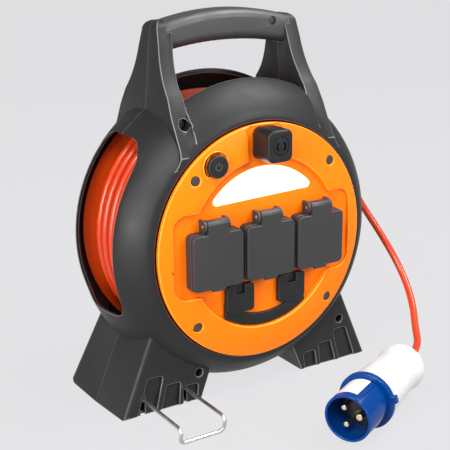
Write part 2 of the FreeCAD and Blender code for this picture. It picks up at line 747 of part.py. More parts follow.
def foot_space(name, side, half):
    """Space inside a foot's walls."""
    return cut(name, foot(name, side, half, dim.wall), foot_lean(name + "_lean", side, dim.wall))


def solid_foot(name, side, half):
    """Foot with its leaning inner face and its edge on the floor rounded."""
    near = at_depth(half.near_low)
    across = limits(side, dim.foot_inner - dim.past, dim.foot_waist_low + dim.past)
    toe = plate(name + "_toe", "YZ_Plane", [
        (near - dim.past, half.toe), (near, half.toe, half.toe, 1), (near + half.toe, ZERO),
        (near + half.toe, -dim.past), (near - dim.past, -dim.past)], *across)
    return cut(name, foot(name, side, half, ZERO), foot_lean(name + "_lean", side, ZERO), toe)


def foot_pockets(name, side):
    """Cutters of the three pockets in the front of a foot, open at the floor."""
    cutters = []
    for place_name, high, top_in, top_out, low_in, low_out in (
            ("a", dim.pocket_a_high, dim.pocket_a_top_in, dim.pocket_a_top_out, dim.pocket_a_low_in,
             dim.pocket_a_low_out),
            ("b", dim.pocket_b_high, dim.pocket_b_top_in, dim.pocket_b_top_out, dim.pocket_b_low_in,
             dim.pocket_b_low_out),
            ("c", dim.pocket_c_high, dim.pocket_c_top_in, dim.pocket_c_top_out, dim.pocket_c_low_in,
             dim.pocket_c_low_out)):
        pocket = plate("%s_%s" % (name, place_name), "XZ_Plane", [
            (low_in * side, -dim.past), (low_out * side, -dim.past), (top_out * side, high),
            (top_in * side, high)],
            at_depth(dim.foot_front_low - dim.past), at_depth(dim.foot_front_low + dim.pocket_deep))
        top = high.value
        rounded(pocket, dim.pocket_round,
                lambda edge: along(edge, AXIS_Y) and abs(middle(edge).z - top) < 0.01)
        cutters.append(pocket)
    return fuse(name, *cutters)


def side_window(name, side):
    """Cutter of a side window."""
    across = limits(side, dim.drum_radius, FAR)
    low = AXIS_Z - dim.window_bottom
    high = AXIS_Z + dim.window_top
    near = at_depth(dim.rim_depth)
    far = at_depth(mirrored(dim.rim_depth))
    body = plate(name, "YZ_Plane", [(near, low), (far, low), (far, high), (near, high)], *across)
    axis_up = AXIS_Z.value
    rounded(body, dim.window_shoulder, lambda edge: along(edge, AXIS_X) and middle(edge).z > axis_up)
    return rounded(body, dim.window_corner,
                   lambda edge: along(edge, AXIS_X) and abs(middle(edge).z - low.value) < 0.01)


def top_gap(name):
    """Cutter of the gap between the legs."""
    half = dim.top_gap_half
    near = at_depth(dim.rim_depth)
    far = at_depth(mirrored(dim.rim_depth))
    body = plate(name, "XY_Plane", [(-half, near), (half, near), (half, far), (-half, far)],
                 above_axis(dim.leg_root), above_axis(FAR))
    return rounded(body, dim.top_gap_corner, lambda edge: along(edge, AXIS_UP))


def grip_block(name, inset):
    """Arched bar between the legs."""
    reach = dim.grip_reach
    near = at_depth(dim.half_depth - dim.grip_half_depth + inset)
    far = at_depth(dim.half_depth + dim.grip_half_depth - inset)
    top_end = above_axis(dim.grip_top_end - inset)
    bottom_end = above_axis(dim.grip_bottom_end + inset)
    body = plate(name, "XZ_Plane", [
        (-reach, bottom_end, dim.grip_bottom_bend, -1), (reach, bottom_end),
        (reach, top_end, dim.grip_top_bend, 1), (-reach, top_end)], near, far)
    return rounded(body, dim.grip_round, lambda edge: not along(edge, AXIS_UP) and not along(edge, AXIS_Y))


def foot_front(height):
    """Depth of the front of the feet at a height under the drum axis."""
    slope = (dim.foot_front_low - dim.foot_front_top) / (dim.axis_height - dim.foot_root)
    return dim.foot_front_top + slope * (height - dim.foot_root)


def leg_front(height):
    """Depth of the front of a leg at a height above the drum axis, below its bend."""
    slope = (dim.leg_front_mid - dim.leg_front_low) / (dim.leg_mid - dim.leg_root)
    return dim.leg_front_low + slope * (height - dim.leg_root)


SCREWS = (
    ("shoulder", -dim.shoulder_screw_x, dim.shoulder_screw_z,
     leg_front(dim.shoulder_screw_z) + dim.screw_well_deep, dim.shoulder_boss, dim.shoulder_well),
    ("left_foot", -dim.left_foot_screw_x, -dim.left_foot_screw_z,
     foot_front(dim.left_foot_screw_z) + dim.screw_well_deep, dim.screw_boss, dim.screw_well),
    ("right_foot", dim.right_foot_screw_x, -dim.right_foot_screw_z,
     foot_front(dim.right_foot_screw_z) + dim.screw_well_deep, dim.screw_boss, dim.screw_well))


def half_shell(name, half, *pockets):
    """Half of the housing that faces the front, without bores, and its bosses."""
    solids = [barrel(name + "_barrel", ZERO), crown(name + "_crown", ZERO)]
    spaces = [barrel(name + "_barrel_space", dim.wall), crown(name + "_crown_space", dim.wall)]
    solids += both_sides(name + "_leg", lambda label, side: leg(label, side, ZERO))
    spaces += both_sides(name + "_leg_space", lambda label, side: leg(label, side, dim.wall))
    solids += both_sides(name + "_foot", lambda label, side: solid_foot(label, side, half))
    spaces += both_sides(name + "_foot_space", lambda label, side: foot_space(label, side, half))
    windows = both_sides(name + "_window", side_window)
    outside = fuse(name + "_outside", *solids)
    blank = cut(name + "_shell", outside, fuse(name + "_inside", *spaces), *windows,
                top_gap(name + "_top_gap"), *pockets)
    rods = [spot_rod("%s_%s_boss" % (name, label), boss, x, height, ZERO, dim.half_depth)
            for label, x, height, seat, boss, well in SCREWS]
    bosses = common(name + "_bosses", fuse(name + "_boss_rods", *rods), outside)
    return fuse(name + "_half", blank, bosses)


def housing():
    """Both shells."""
    wells = []
    threads = []
    for name, x, height, seat, boss, well in SCREWS:
        wells.append(spot_rod(name + "_well", well, x, height, ZERO, seat))
        wells.append(spot_rod(name + "_hole", dim.screw_shank + dim.gap, x, height, ZERO, dim.half_depth))
        threads.append(spot_rod(name + "_thread", dim.screw_shank, x, height, dim.half_depth,
                                dim.half_depth + dim.screw_bite))
    grip_space = grip_block("grip_space", ZERO)
    mouth = drum_rod("mouth", dim.face_radius + dim.face_gap, ZERO, dim.lip_set + dim.wall * 2)
    slots = []
    half_slot = dim.wire_radius + dim.guide_gap * 2
    for name, x in (("left", dim.stand_left), ("right", dim.stand_right)):
        slots.append(box("wire_slot_" + name, (-x - half_slot, -x + half_slot), (FACE_Y, guide_front()),
                         (-dim.wall, dim.stand_arm_high + half_slot)))
    pockets = both_sides("pockets", foot_pockets)
    front = cut("front", half_shell("front", FRONT_FOOT, *pockets), mouth, *wells, *slots, grip_space)
    node(front, "front_shell")

    rear_half = doc.addObject("Part::Mirroring", "rear_half")
    rear_half.Source = half_shell("rear", REAR_FOOT)
    rear_half.Base = Vector(0, PARTING_Y.value, 0)
    rear_half.Normal = Vector(0, 1, 0)
    bind(rear_half, "Base.y", PARTING_Y)
    back = mirrored(dim.lip_set)
    past_back = back + dim.past
    boss_front = back - dim.axle_boss_long
    boss = drum_rod("axle_boss", dim.axle_boss, boss_front, back - dim.wall / 2)
    bore = drum_rod("axle_bore", dim.axle_radius, boss_front - dim.past, past_back)
    well = drum_rod("nut_space", dim.nut_well, back - dim.nut_high - dim.gap, past_back)
    groove = ring("back_groove", dim.back_ring + dim.back_ring_wide, dim.back_ring,
                  back - dim.back_ring_deep, past_back)
    rear = cut("rear", fuse("rear", rear_half, boss), bore, well, groove, grip_space, *threads)
    node(rear, "rear_shell")


def guide_front():
    """Front of the stand's guide, on the inner side of the foot's front wall."""
    return at_depth(dim.foot_front_low + dim.pocket_deep + dim.wall)


def grip():
    """Grip in two halves, with its ribbed underside."""
    whole = grip_block("grip_whole", ZERO)
    count = int(dim.grip_rib_half.value * 2 // dim.grip_rib_pitch.value)
    cuts = []
    for number in range(count):
        x = (number - (count - 1) / 2) * dim.grip_rib_pitch
        sag = x * x / (dim.grip_bottom_bend * 2)
        top = above_axis(dim.grip_bottom + dim.grip_rib_cut) - sag
        cuts.append(box("grip_groove_%d" % (number + 1),
                        (x - dim.grip_rib_slot / 2, x + dim.grip_rib_slot / 2),
                        (FACE_Y, at_depth(mirrored(ZERO))), (top - dim.grip_rib_cut * 3, top)))
    ribbed = cut("grip", whole, *cuts)
    reach = dim.grip_reach + dim.past
    high = (above_axis(dim.leg_root), above_axis(FAR))
    front_room = box("grip_front_room", (-reach, reach), (FACE_Y, PARTING_Y), high)
    rear_room = box("grip_rear_room", (-reach, reach), (PARTING_Y, at_depth(mirrored(ZERO))), high)
    x = dim.grip_screw_x
    height = dim.grip_screw_z
    surface = dim.half_depth - dim.grip_half_depth
    seat = surface + dim.screw_well_deep / 2
    well = spot_rod("grip_well", dim.screw_well, x, height, surface - dim.past, seat)
    hole = spot_rod("grip_hole", dim.screw_shank + dim.gap, x, height, surface, dim.half_depth)
    thread = spot_rod("grip_thread", dim.screw_shank, x, height, dim.half_depth,
                      dim.half_depth + dim.screw_bite)
    node(cut("grip_front", common("grip_front", ribbed, front_room), well, hole), "grip_front")
    node(cut("grip_rear", common("grip_rear", ribbed, rear_room), thread), "grip_rear")
    node(screw("grip_screw", x, height, seat), "grip_screw")


def screw(name, x, height, seat):
    """Pan head screw whose head sits at a depth."""
    head = spot_rod(name + "_head", dim.screw_head, x, height, seat - dim.screw_head_high, seat)
    shank = spot_rod(name + "_shank", dim.screw_shank, x, height, seat, dim.half_depth + dim.screw_bite)
    return fuse(name, head, shank)


def fasteners():
    """Housing screws and the axle with its nut and washer."""
    screws = [screw(name + "_screw", x, height, seat) for name, x, height, seat, boss, well in SCREWS]
    node(group("housing_screws", *screws), "housing_screws")
    back = mirrored(dim.lip_set)
    node(drum_rod("axle", dim.axle_radius, dim.axle_front, back - dim.wall / 2), "axle")
    nut_near = back - dim.nut_high
    nut = doc.addObject("Part::Prism", "axle_nut_block")
    nut.Polygon = 6
    nut.Circumradius = dim.nut_half.value
    nut.Height = dim.nut_high.value - dim.wall.value / 2
    bind(nut, "Circumradius", dim.nut_half)
    bind(nut, "Height", dim.nut_high - dim.wall / 2)
    place(nut, ZERO, at_depth(nut_near), AXIS_Z, TO_Y)
    bore = drum_rod("axle_nut_bore", dim.axle_radius, nut_near - dim.past, back)
    node(cut("axle_nut", nut, bore), "axle_nut")


# Drum: flanges, barrel, hub, bearing and the plain wound core

def drum_halves():
    """Two flanged halves of the drum, with the bosses for the face plate and the hub."""
    mid = dim.half_depth
    flange = dim.flange_set
    web = flange + dim.flange_thick
    inner = dim.drum_radius - dim.wall
    front_disc = ring("front_flange", dim.flange_radius, dim.drum_mouth, flange, web)
    front_barrel = ring("front_barrel", dim.drum_radius, inner, flange, mid)
    skirt = ring("skirt", dim.skirt_radius, dim.skirt_radius - dim.wall, dim.face_back, web)
    bosses = [spot_rod(name, dim.face_boss, x, z, dim.face_back, web)
              for name, x, z in corners("face_boss")]
    threads = [spot_rod(name, dim.screw_shank, x, z, dim.face_back - dim.past, web + dim.past)
               for name, x, z in corners("face_thread")]
    front = cut("drum_front", fuse("drum_front", front_disc, front_barrel, skirt, *bosses), *threads)
    node(front, "drum_front")

    rear_flange = mirrored(web)
    rear_end = mirrored(flange)
    hub_radius = dim.axle_radius + dim.bush_wall + dim.hub_wall
    rear_disc = ring("rear_flange", dim.flange_radius, inner, rear_flange, rear_end)
    rear_barrel = ring("rear_barrel", dim.drum_radius, inner, mid, rear_end)
    rear_web = drum_rod("rear_web", inner + dim.wall / 2, rear_flange - dim.wall, rear_flange)
    bush_end = rear_flange
    bush_front = bush_end - dim.bush_length
    hub = drum_rod("hub", hub_radius, bush_front, rear_flange)
    bore = drum_rod("hub_bore", dim.axle_radius + dim.bush_wall, bush_front - dim.past,
                    rear_flange + dim.past)
    node(cut("drum_rear", fuse("drum_rear", rear_disc, rear_barrel, rear_web, hub), bore), "drum_rear")
    node(ring("bush", dim.axle_radius + dim.bush_wall, dim.axle_radius + dim.running_fit, bush_front,
              bush_end), "bearing_bush")
    washer_near = rear_flange + dim.gap
    node(ring("washer", dim.washer_radius, dim.axle_radius, washer_near, washer_near + dim.washer_thick),
         "thrust_washer")


def corners(name):
    """Names and places of the four face screws."""
    return [("%s_%d" % (name, number), x, z) for number, (x, z) in enumerate(
        ((-dim.face_screw_x, dim.face_screw_z), (dim.face_screw_x, dim.face_screw_z),
         (dim.face_screw_x, -dim.face_screw_z), (-dim.face_screw_x, -dim.face_screw_z)), start=1)]


def face_screws():
    parts = []
    for name, x, z in corners("face_screw"):
        near = dim.face_screw_set - dim.face_well_depth
        seat = near + dim.screw_head_high
        head = spot_rod(name + "_head", dim.face_screw_head, x, z, near, seat)
        shank = spot_rod(name + "_shank", dim.screw_shank, x, z, seat,
                         dim.flange_set + dim.flange_thick)
        parts.append(fuse(name, head, shank))
    node(group("face_screws", *parts), "face_screws")


# Orange face plate with its recess and openings

OUTLETS = [(number + 1, (number - 1) * dim.socket_pitch) for number in range(3)]


def lens_outline(radius, base, tip, name, near, far):
    """Segment of a circle over a straight, slightly tilted lower edge, with rounded tips."""
    left_up = base - dim.lens_tilt
    right_up = base + dim.lens_tilt
    left = root(radius * radius - left_up * left_up)
    right = root(radius * radius - right_up * right_up)
    body = plate(name, "XZ_Plane", [
        (-left, above_axis(left_up)), (right, above_axis(right_up), radius, 1)],
        at_depth(near), at_depth(far))
    return rounded(body, tip, lambda edge: along(edge, AXIS_Y))


def face_plate():
    """Plate with a domed ring round its recess, and the collar of the lamp's button."""
    back = dim.face_back
    past_back = back + dim.past
    floor = -dim.recess_floor
    before = -dim.face_rise - dim.past
    disc = turned("face_disc", [
        (ZERO, -dim.face_rise), (dim.dome_radius, -dim.face_rise, dim.face_bend, 1),
        (dim.face_radius, -dim.face_rim), (dim.face_radius, back), (ZERO, back)])
    lean = (dim.dome_radius - dim.recess_radius) / (dim.face_rise - dim.recess_floor)
    pan = spot_cone("recess_round", dim.dome_radius + lean * dim.past, dim.recess_radius, ZERO, ZERO, before,
                    floor)
    half = dim.band_half
    band = plate("recess_band", "XZ_Plane", [
        (-half, above_axis(-dim.band_bottom)), (half, above_axis(-dim.band_bottom)),
        (half, above_axis(dim.band_top)), (-half, above_axis(dim.band_top))],
        at_depth(before), at_depth(floor))
    rounded(band, dim.recess_corner, lambda edge: along(edge, AXIS_Y))
    pocket_half = dim.knob_pocket_half
    pocket = plate("knob_pocket", "XZ_Plane", [
        (-pocket_half, above_axis(dim.knob_pocket_low)), (pocket_half, above_axis(dim.knob_pocket_low)),
        (pocket_half, above_axis(dim.knob_pocket_high)), (-pocket_half, above_axis(dim.knob_pocket_high))],
        at_depth(before), at_depth(floor))
    rounded(pocket, dim.knob_pocket_corner, lambda edge: along(edge, AXIS_Y))
    x = -dim.button_x
    z = dim.button_z
    island = spot_rod("button_island", dim.island_radius, x, z, -dim.collar_rise, back)
    dished = fuse("face", cut("face_recess", disc, fuse("recess", pan, band, pocket)), island)
    tools = [
        spot_cone("button_dish", dim.dish_radius, dim.button_radius + dim.gap, x, z, -dim.collar_rise,
                  dim.dish_deep - dim.collar_rise),
        spot_rod("button_bore", dim.button_radius + dim.gap, x, z, -dim.collar_rise - dim.past, past_back),
        spot_rod("knob_bore", dim.knob_pin_radius, ZERO, dim.knob_z, before, past_back),
        lens_outline(dim.lens_radius + dim.gap, dim.lens_base - dim.gap, dim.lens_tip_round, "lens_seat",
                     floor - dim.past, floor + dim.lens_seat),
        lens_outline(dim.lens_radius - dim.lens_rim, dim.lens_base + dim.lens_rim, dim.lens_tip_round,
                     "lamp_mouth", floor, past_back)]
    for number, across in OUTLETS:
        tools.append(spot_rod("outlet_mouth_%d" % number, dim.insert_radius, across, outlet_height(), before,
                              past_back))
    for name, across, height in corners("face_well"):
        tools.append(spot_rod(name, dim.face_screw_well, across, height, before,
                              dim.face_screw_set - dim.face_well_depth + dim.screw_head_high))
        tools.append(spot_rod(name + "_hole", dim.screw_shank, across, height, before, past_back))
    node(cut("face_plate", dished, *tools), "face_plate")


def outlet_height():
    """Height of the outlets over the drum axis."""
    return (dim.lid_top - dim.lid_bottom) / 2


# Outlets with their sprung covers

def outlets():
    for number, across in OUTLETS:
        outlet(number, across)


def outlet(number, across):
    """One outlet: frame, insert, clips, hinge pin, spring, cover and seal."""
    tag = "_%d" % number
    lid_back = -dim.lid_front + dim.lid_thick
    frame_front = lid_back + dim.gap
    half = dim.lid_half + dim.frame_margin
    top = above_axis(dim.lid_top + dim.frame_margin)
    bottom = above_axis(-dim.lid_bottom - dim.frame_margin)
    height = outlet_height()
    axis_depth = -dim.hinge_depth
    hood_low = dim.lid_top + dim.frame_margin + dim.gap
    axis_up = hood_low + dim.knuckle_radius
    floor_depth = -dim.recess_floor
    block = plate("frame_block" + tag, "XZ_Plane", [
        (across - half, bottom), (across + half, bottom), (across + half, top), (across - half, top)],
        at_depth(frame_front), at_depth(floor_depth))
    rounded(block, dim.lid_corner, lambda edge: along(edge, AXIS_Y))
    ears = []
    tab_space = dim.tab_half + dim.gap
    for side_name, side in (("_left", -1), ("_right", 1)):
        inner, outer = limits(side, tab_space, dim.ear_outer)
        start = across + inner
        length = outer - inner
        ears.append(rod("ear" + tag + side_name, "x", dim.ear_radius,
                        (start, at_depth(axis_depth), above_axis(axis_up)), length))
        ears.append(box("ear_foot" + tag + side_name, (start, start + length),
                        (at_depth(axis_depth), at_depth(floor_depth)),
                        (top - dim.past, above_axis(axis_up + dim.ear_radius))))
    pin_space = rod("pin_space" + tag, "x", dim.hinge_pin_radius,
                    (across - dim.ear_outer - dim.past, at_depth(axis_depth), above_axis(axis_up)),
                    dim.ear_outer * 2 + dim.past * 2)
    throat = spot_rod("throat" + tag, dim.insert_radius, across, height, frame_front - dim.past,
                      floor_depth + dim.past)
    node(cut("socket_frame" + tag, fuse("socket_frame" + tag, block, *ears), throat, pin_space),
         "socket_frame" + tag)
    node(rod("hinge_pin" + tag, "x", dim.hinge_pin_radius,
             (across - dim.ear_outer, at_depth(axis_depth), above_axis(axis_up)), dim.ear_outer * 2),
         "hinge_pin" + tag)
    spring_half = dim.spring_slot - dim.gap
    spring_start = (across - spring_half, at_depth(axis_depth), above_axis(axis_up))
    coil = rod("spring_coil" + tag, "x", dim.cover_spring_radius, spring_start, spring_half * 2)
    coil_bore = rod("spring_bore" + tag, "x", dim.hinge_pin_radius, spring_start, spring_half * 2)
    node(cut("flap_spring" + tag, coil, coil_bore), "flap_spring" + tag)

    insert_front = frame_front + dim.insert_set
    floor = insert_front + dim.socket_deep
    cup = spot_rod("insert_cup" + tag, dim.insert_radius, across, height, insert_front,
                   floor + dim.insert_floor)
    bore = spot_rod("insert_bore" + tag, dim.socket_bore, across, height, insert_front - dim.past, floor)
    holes = [spot_rod("insert_hole" + tag + side_name, dim.pin_hole, across + dim.pin_pitch / 2 * side,
                      height, floor - dim.past, floor + dim.insert_floor + dim.past)
             for side_name, side in (("_left", -1), ("_right", 1))]
    clips = []
    windows = []
    clip_near = dim.socket_bore + dim.gap / 3
    clip_far = clip_near + dim.clip_thick
    clip_across = (across - dim.clip_half, across + dim.clip_half)
    clip_depths = (at_depth(insert_front + dim.clip_half), at_depth(floor))
    for side_name, side in (("_low", -1), ("_high", 1)):
        for made, label, inner in (
                (clips, "earth_clip", clip_near), (windows, "clip_window", dim.clip_half)):
            low, high = limits(side, inner, clip_far)
            made.append(box(label + tag + side_name, clip_across, clip_depths,
                            (above_axis(height + low), above_axis(height + high))))
    node(cut("socket_insert" + tag, cup, bore, *holes, *windows), "socket_insert" + tag)
    node(group("earth_clips" + tag, *clips), "earth_clips" + tag)

    lid_left, lid_right = across - dim.lid_half, across + dim.lid_half
    lid_low, lid_high = above_axis(-dim.lid_bottom), above_axis(dim.lid_top)
    lid = plate("lid" + tag, "XZ_Plane", [
        (lid_left, lid_low), (lid_right, lid_low), (lid_right, lid_high), (lid_left, lid_high)],
        at_depth(-dim.lid_front), at_depth(lid_back))
    rounded(lid, dim.lid_corner, lambda edge: along(edge, AXIS_Y))
    front_face = -(dim.lid_thick.value)
    rounded(lid, dim.lid_edge,
            lambda edge: abs(middle(edge).y - front_face) < 0.01 and not along(edge, AXIS_Y))
    knuckle_start = (across - dim.tab_half, at_depth(axis_depth), above_axis(axis_up))
    knuckle = rod("knuckle" + tag, "x", dim.knuckle_radius, knuckle_start, dim.tab_half * 2)
    tab_across = (across - dim.tab_half, across + dim.tab_half)
    lid_face = at_depth(-dim.lid_front)
    bridge = box("bridge" + tag, tab_across, (lid_face, at_depth(lid_back)),
                 (above_axis(dim.lid_top - dim.lid_edge), above_axis(axis_up)))
    hood_top = above_axis(axis_up + dim.knuckle_radius)
    bend = dim.hood_round
    hood = plate("hood" + tag, "YZ_Plane", [
        (lid_face, above_axis(hood_low)), (at_depth(axis_depth), above_axis(hood_low)),
        (at_depth(axis_depth), hood_top), (lid_face + bend, hood_top, bend, 1), (lid_face, hood_top - bend)],
        *tab_across)
    lip = box("finger_lip" + tag, (across - dim.lip_half, across + dim.lip_half),
              (lid_face, at_depth(lid_back - dim.past)),
              (above_axis(-dim.lid_bottom - dim.lip_high), above_axis(dim.past - dim.lid_bottom)))
    spring_space = rod("spring_space" + tag, "x", dim.cover_spring_radius + dim.gap,
                       (across - dim.spring_slot, at_depth(axis_depth), above_axis(axis_up)),
                       dim.spring_slot * 2)
    pin_bore = rod("pin_bore" + tag, "x", dim.hinge_pin_radius + dim.running_fit,
                   (across - dim.tab_half - dim.past, at_depth(axis_depth), above_axis(axis_up)),
                   dim.tab_half * 2 + dim.past * 2)
    groove_near = lid_back - dim.seal_groove
    groove = cut("seal_groove" + tag,
                 spot_rod("groove_outer" + tag, dim.seal_outer, across, height, groove_near,
                          lid_back + dim.past),
                 spot_rod("groove_inner" + tag, dim.seal_inner, across, height, groove_near - dim.past,
                          lid_back + dim.past))
    node(cut("socket_flap" + tag, fuse("socket_flap" + tag, lid, knuckle, bridge, hood, lip), spring_space,
             pin_bore, groove), "socket_flap" + tag)
    seal = cut("flap_seal" + tag,
               spot_rod("seal_outer" + tag, dim.seal_outer, across, height, groove_near,
                        lid_back + dim.seal_proud),
               spot_rod("seal_inner" + tag, dim.seal_inner, across, height, groove_near - dim.past,
                        lid_back + dim.past))
    node(seal, "flap_seal" + tag)


# Lamp, its button and switch

def lamp():
    node(lens_outline(dim.lens_radius, dim.lens_base, dim.lens_tip_round, "lens", -dim.lens_front,
                      dim.lens_seat - dim.recess_floor), "lamp_lens")
    near = dim.face_back
    far = near + dim.tray_deep
    tray = lens_outline(dim.lens_radius, dim.lens_base, dim.lens_tip_round, "tray_block", near, far)
    room = lens_outline(dim.lens_radius - dim.tray_wall, dim.lens_base + dim.tray_wall, dim.lens_tip_round,
                        "tray_room", near - dim.past, far - dim.tray_wall)
    node(cut("lamp_tray", tray, room), "lamp_tray")
    board_far = far - dim.tray_wall
    board = lens_outline(dim.lens_radius - dim.lens_rim, dim.lens_base + dim.lens_rim, dim.lens_tip_round,
                         "board", board_far - dim.board_thick, board_far)
    node(board, "led_board")


def button():
    """Round button with its neck, spring and switch."""
    x = -dim.button_x
    front = -dim.collar_rise - dim.button_front
    cap = spot_rod("button_cap", dim.button_radius, x, dim.button_z, front, dim.face_back)
    switch_near = dim.face_back + dim.button_travel + dim.gap
    neck_end = switch_near + dim.tray_wall
    neck = spot_rod("button_neck", dim.button_neck, x, dim.button_z, front + dim.past, neck_end)
    room = cut("button_room",
               spot_rod("button_room_outer", dim.button_radius - dim.tray_wall, x, dim.button_z,
                        front + dim.tray_wall, dim.face_back + dim.past),
               spot_rod("button_room_core", dim.button_neck, x, dim.button_z, front,
                        dim.face_back + dim.past * 2))
    node(fuse("light_button", cut("light_button", cap, room), neck), "light_button")
    half = dim.switch_half
    block = box("switch_block", (x - half, x + half),
                (at_depth(switch_near), at_depth(switch_near + dim.switch_deep)),
                (above_axis(dim.button_z - half), above_axis(dim.button_z + half)))
    socket = spot_rod("switch_socket", dim.button_neck + dim.gap, x, dim.button_z, switch_near - dim.past,
                      neck_end + dim.button_travel + dim.gap)
    node(cut("switch_body", block, socket), "switch_body")
    spring_near = front + dim.tray_wall
    helix = helix_tube(dim.spring_radius.value, dim.spring_wire.value, dim.spring_turns.value,
                       (switch_near - spring_near).value - 2 * dim.spring_wire.value)
    helix.Placement = Placement(Vector(x.value, at_depth(spring_near + dim.spring_wire).value,
                                       above_axis(dim.button_z).value), TO_Y)
    node(helix, "button_spring")


# Bracket for parking the plug

def bracket():
    inner, outer = dim.dock_inner, dim.dock_outer
    low, high = above_axis(-dim.dock_bottom), above_axis(-dim.dock_top)
    floor = at_depth(-dim.recess_floor)
    parts = []
    slots = []
    for side_name, side in (("_left", -1), ("_right", 1)):
        block = plate("dock" + side_name, "XZ_Plane", [
            (inner * side, low), ((outer - dim.dock_cut) * side, low), (outer * side, low + dim.dock_cut),
            (outer * side, high), (inner * side, high)], at_depth(-dim.dock_front), floor)
        parts.append(rounded(block, dim.dock_corner, lambda edge: along(edge, AXIS_Y)))
        centre = (inner + outer) / 2 * side
        slots.append(box("dock_slot" + side_name, (centre - dim.dock_slot_half, centre + dim.dock_slot_half),
                         (at_depth(-dim.dock_front - dim.past),
                          at_depth(-dim.dock_front + dim.dock_slot_deep)),
                         (high - dim.dock_slot_high, high + dim.past)))
    arc = ring("dock_bar", dim.dock_bar_outer, dim.dock_bar_inner, -dim.dock_bar_front, -dim.recess_floor)
    room = box("dock_bar_room", (-dim.dock_bar_half, dim.dock_bar_half), (FACE_Y - dim.lid_front, floor),
               (above_axis(-dim.face_radius), high))
    bar = common("dock_bar", arc, room)
    node(cut("parking_bracket", fuse("parking_bracket", *parts, bar), *slots), "parking_bracket")


# Winding knob

def knob():
    half, high = dim.knob_half_wide, dim.knob_half_high
    back = -dim.recess_floor - dim.knob_set
    block = plate("knob_block", "XZ_Plane", [
        (-half, above_axis(dim.knob_z - high)), (half, above_axis(dim.knob_z - high)),
        (half, above_axis(dim.knob_z + high)), (-half, above_axis(dim.knob_z + high))],
        at_depth(-dim.knob_front), at_depth(back))
    rounded(block, dim.knob_corner, lambda edge: along(edge, AXIS_Y))
    front = -(dim.knob_front + back).value
    rounded(block, dim.knob_step,
            lambda edge: abs(middle(edge).y - front) < 0.01 and not along(edge, AXIS_Y))
    cap_back = dim.knob_cap_deep - dim.knob_front
    cap_space = spot_rod("knob_cap_space", dim.knob_cap_radius, ZERO, dim.knob_z, -dim.knob_front - dim.past,
                         cap_back)
    pin_near = cap_back + dim.wall
    head_far = pin_near + dim.wall
    head_space = spot_rod("knob_head_space", dim.knob_pin_head + dim.gap, ZERO, dim.knob_z,
                          cap_back - dim.past, head_far + dim.gap)
    bore = spot_rod("knob_pin_space", dim.knob_pin_radius + dim.running_fit, ZERO, dim.knob_z, pin_near,
                    back + dim.past)
    node(cut("winding_knob", block, cap_space, head_space, bore), "winding_knob")
    node(spot_rod("knob_cap_disc", dim.knob_cap_radius, ZERO, dim.knob_z, -dim.knob_front, cap_back),
         "knob_cap")
    head = spot_rod("knob_pin_head", dim.knob_pin_head, ZERO, dim.knob_z, pin_near, head_far)
    spindle = spot_rod("knob_spindle", dim.knob_pin_radius, ZERO, dim.knob_z, pin_near,
                       dim.face_back + dim.wall)
    node(fuse("knob_pin", head, spindle), "knob_pin")


# Cord: tubes along lines and arcs

def arc_from(start, heading, end):
    """Arc through two points that leaves the first along a heading."""
    chord = end - start
    reach = chord.Length / (2 * heading.dot(chord) / chord.Length)
    corner = start + heading * reach
    half = (start + end) * 0.5
    rise = corner - half
    slope = rise.Length / (chord.Length / 2)
    sag = chord.Length / 2 * math.tan(math.atan(slope) / 2)
    return Part.Arc(start, half + rise.normalize() * sag, end).toShape()


def two_arcs(start, heading, end, leaving):
    """Two tangent arcs from one point and heading to another."""
    span = end - start
    both = heading + leaving
    square = both.dot(both) - 4
    slope = span.dot(both)
    reach = (slope - math.sqrt(slope * slope - square * span.dot(span))) / square
    joint = (start + heading * reach + end - leaving * reach) * 0.5
    joint_heading = (end - leaving * reach - start - heading * reach).normalize()
    return [arc_from(start, heading, joint), arc_from(joint, joint_heading, end)]


def helix_edges(radius, turns, rise):
    """Helix about +Z from the X axis, each quarter turn made of two arcs, with straight ends."""
    steps = int(turns * 4)
    climb = rise / steps

    def point(step):
        angle = step * math.pi / 2
        return Vector(radius * math.cos(angle), radius * math.sin(angle), climb * step)

    def heading(step):
        angle = step * math.pi / 2
        return Vector(-radius * math.sin(angle), radius * math.cos(angle), climb / (math.pi / 2)).normalize()

    edges = []
    for step in range(steps):
        edges += two_arcs(point(step), heading(step), point(step + 1), heading(step + 1))
    return edges, (point(0), heading(0)), (point(steps), heading(steps))


def tube(edges, radius):
    """Round tube along joined edges."""
    path = Part.Wire(edges)
    start = path.Edges[0].valueAt(path.Edges[0].FirstParameter)
    heading = path.Edges[0].tangentAt(path.Edges[0].FirstParameter)
    section = Part.Wire(Part.Circle(start, heading, radius).toShape())
    return path.makePipeShell([section], True, False), path.Length


def tube_piece(name, edges, radius):
    shape, length = tube(edges, radius)
    thing = doc.addObject("Part::Feature", name)
    thing.Shape = shape
    expected = math.pi * radius * radius * length
    print("%s: length %.1f mm, volume over section x length %.5f" % (name, length, shape.Volume / expected))
    return thing


def helix_tube(radius, wire, turns, rise):
    """Spring with its axis along +Z."""
    edges, start, end = helix_edges(radius, turns, rise)
    return tube_piece("button_spring_coil", edges, wire)


# Route of the free cord: (across, depth, height over the floor), from the winding to the plug
CORD_ROUTE = (
    (88, 76, 254), (116, 76, 229), (141, 75, 203), (163, 71, 174), (179, 65, 145), (190.5, 54, 122),
    (198.5, 34, 93.5), (196, 10, 70), (184, -14, 52.5), (169, -33, 43))


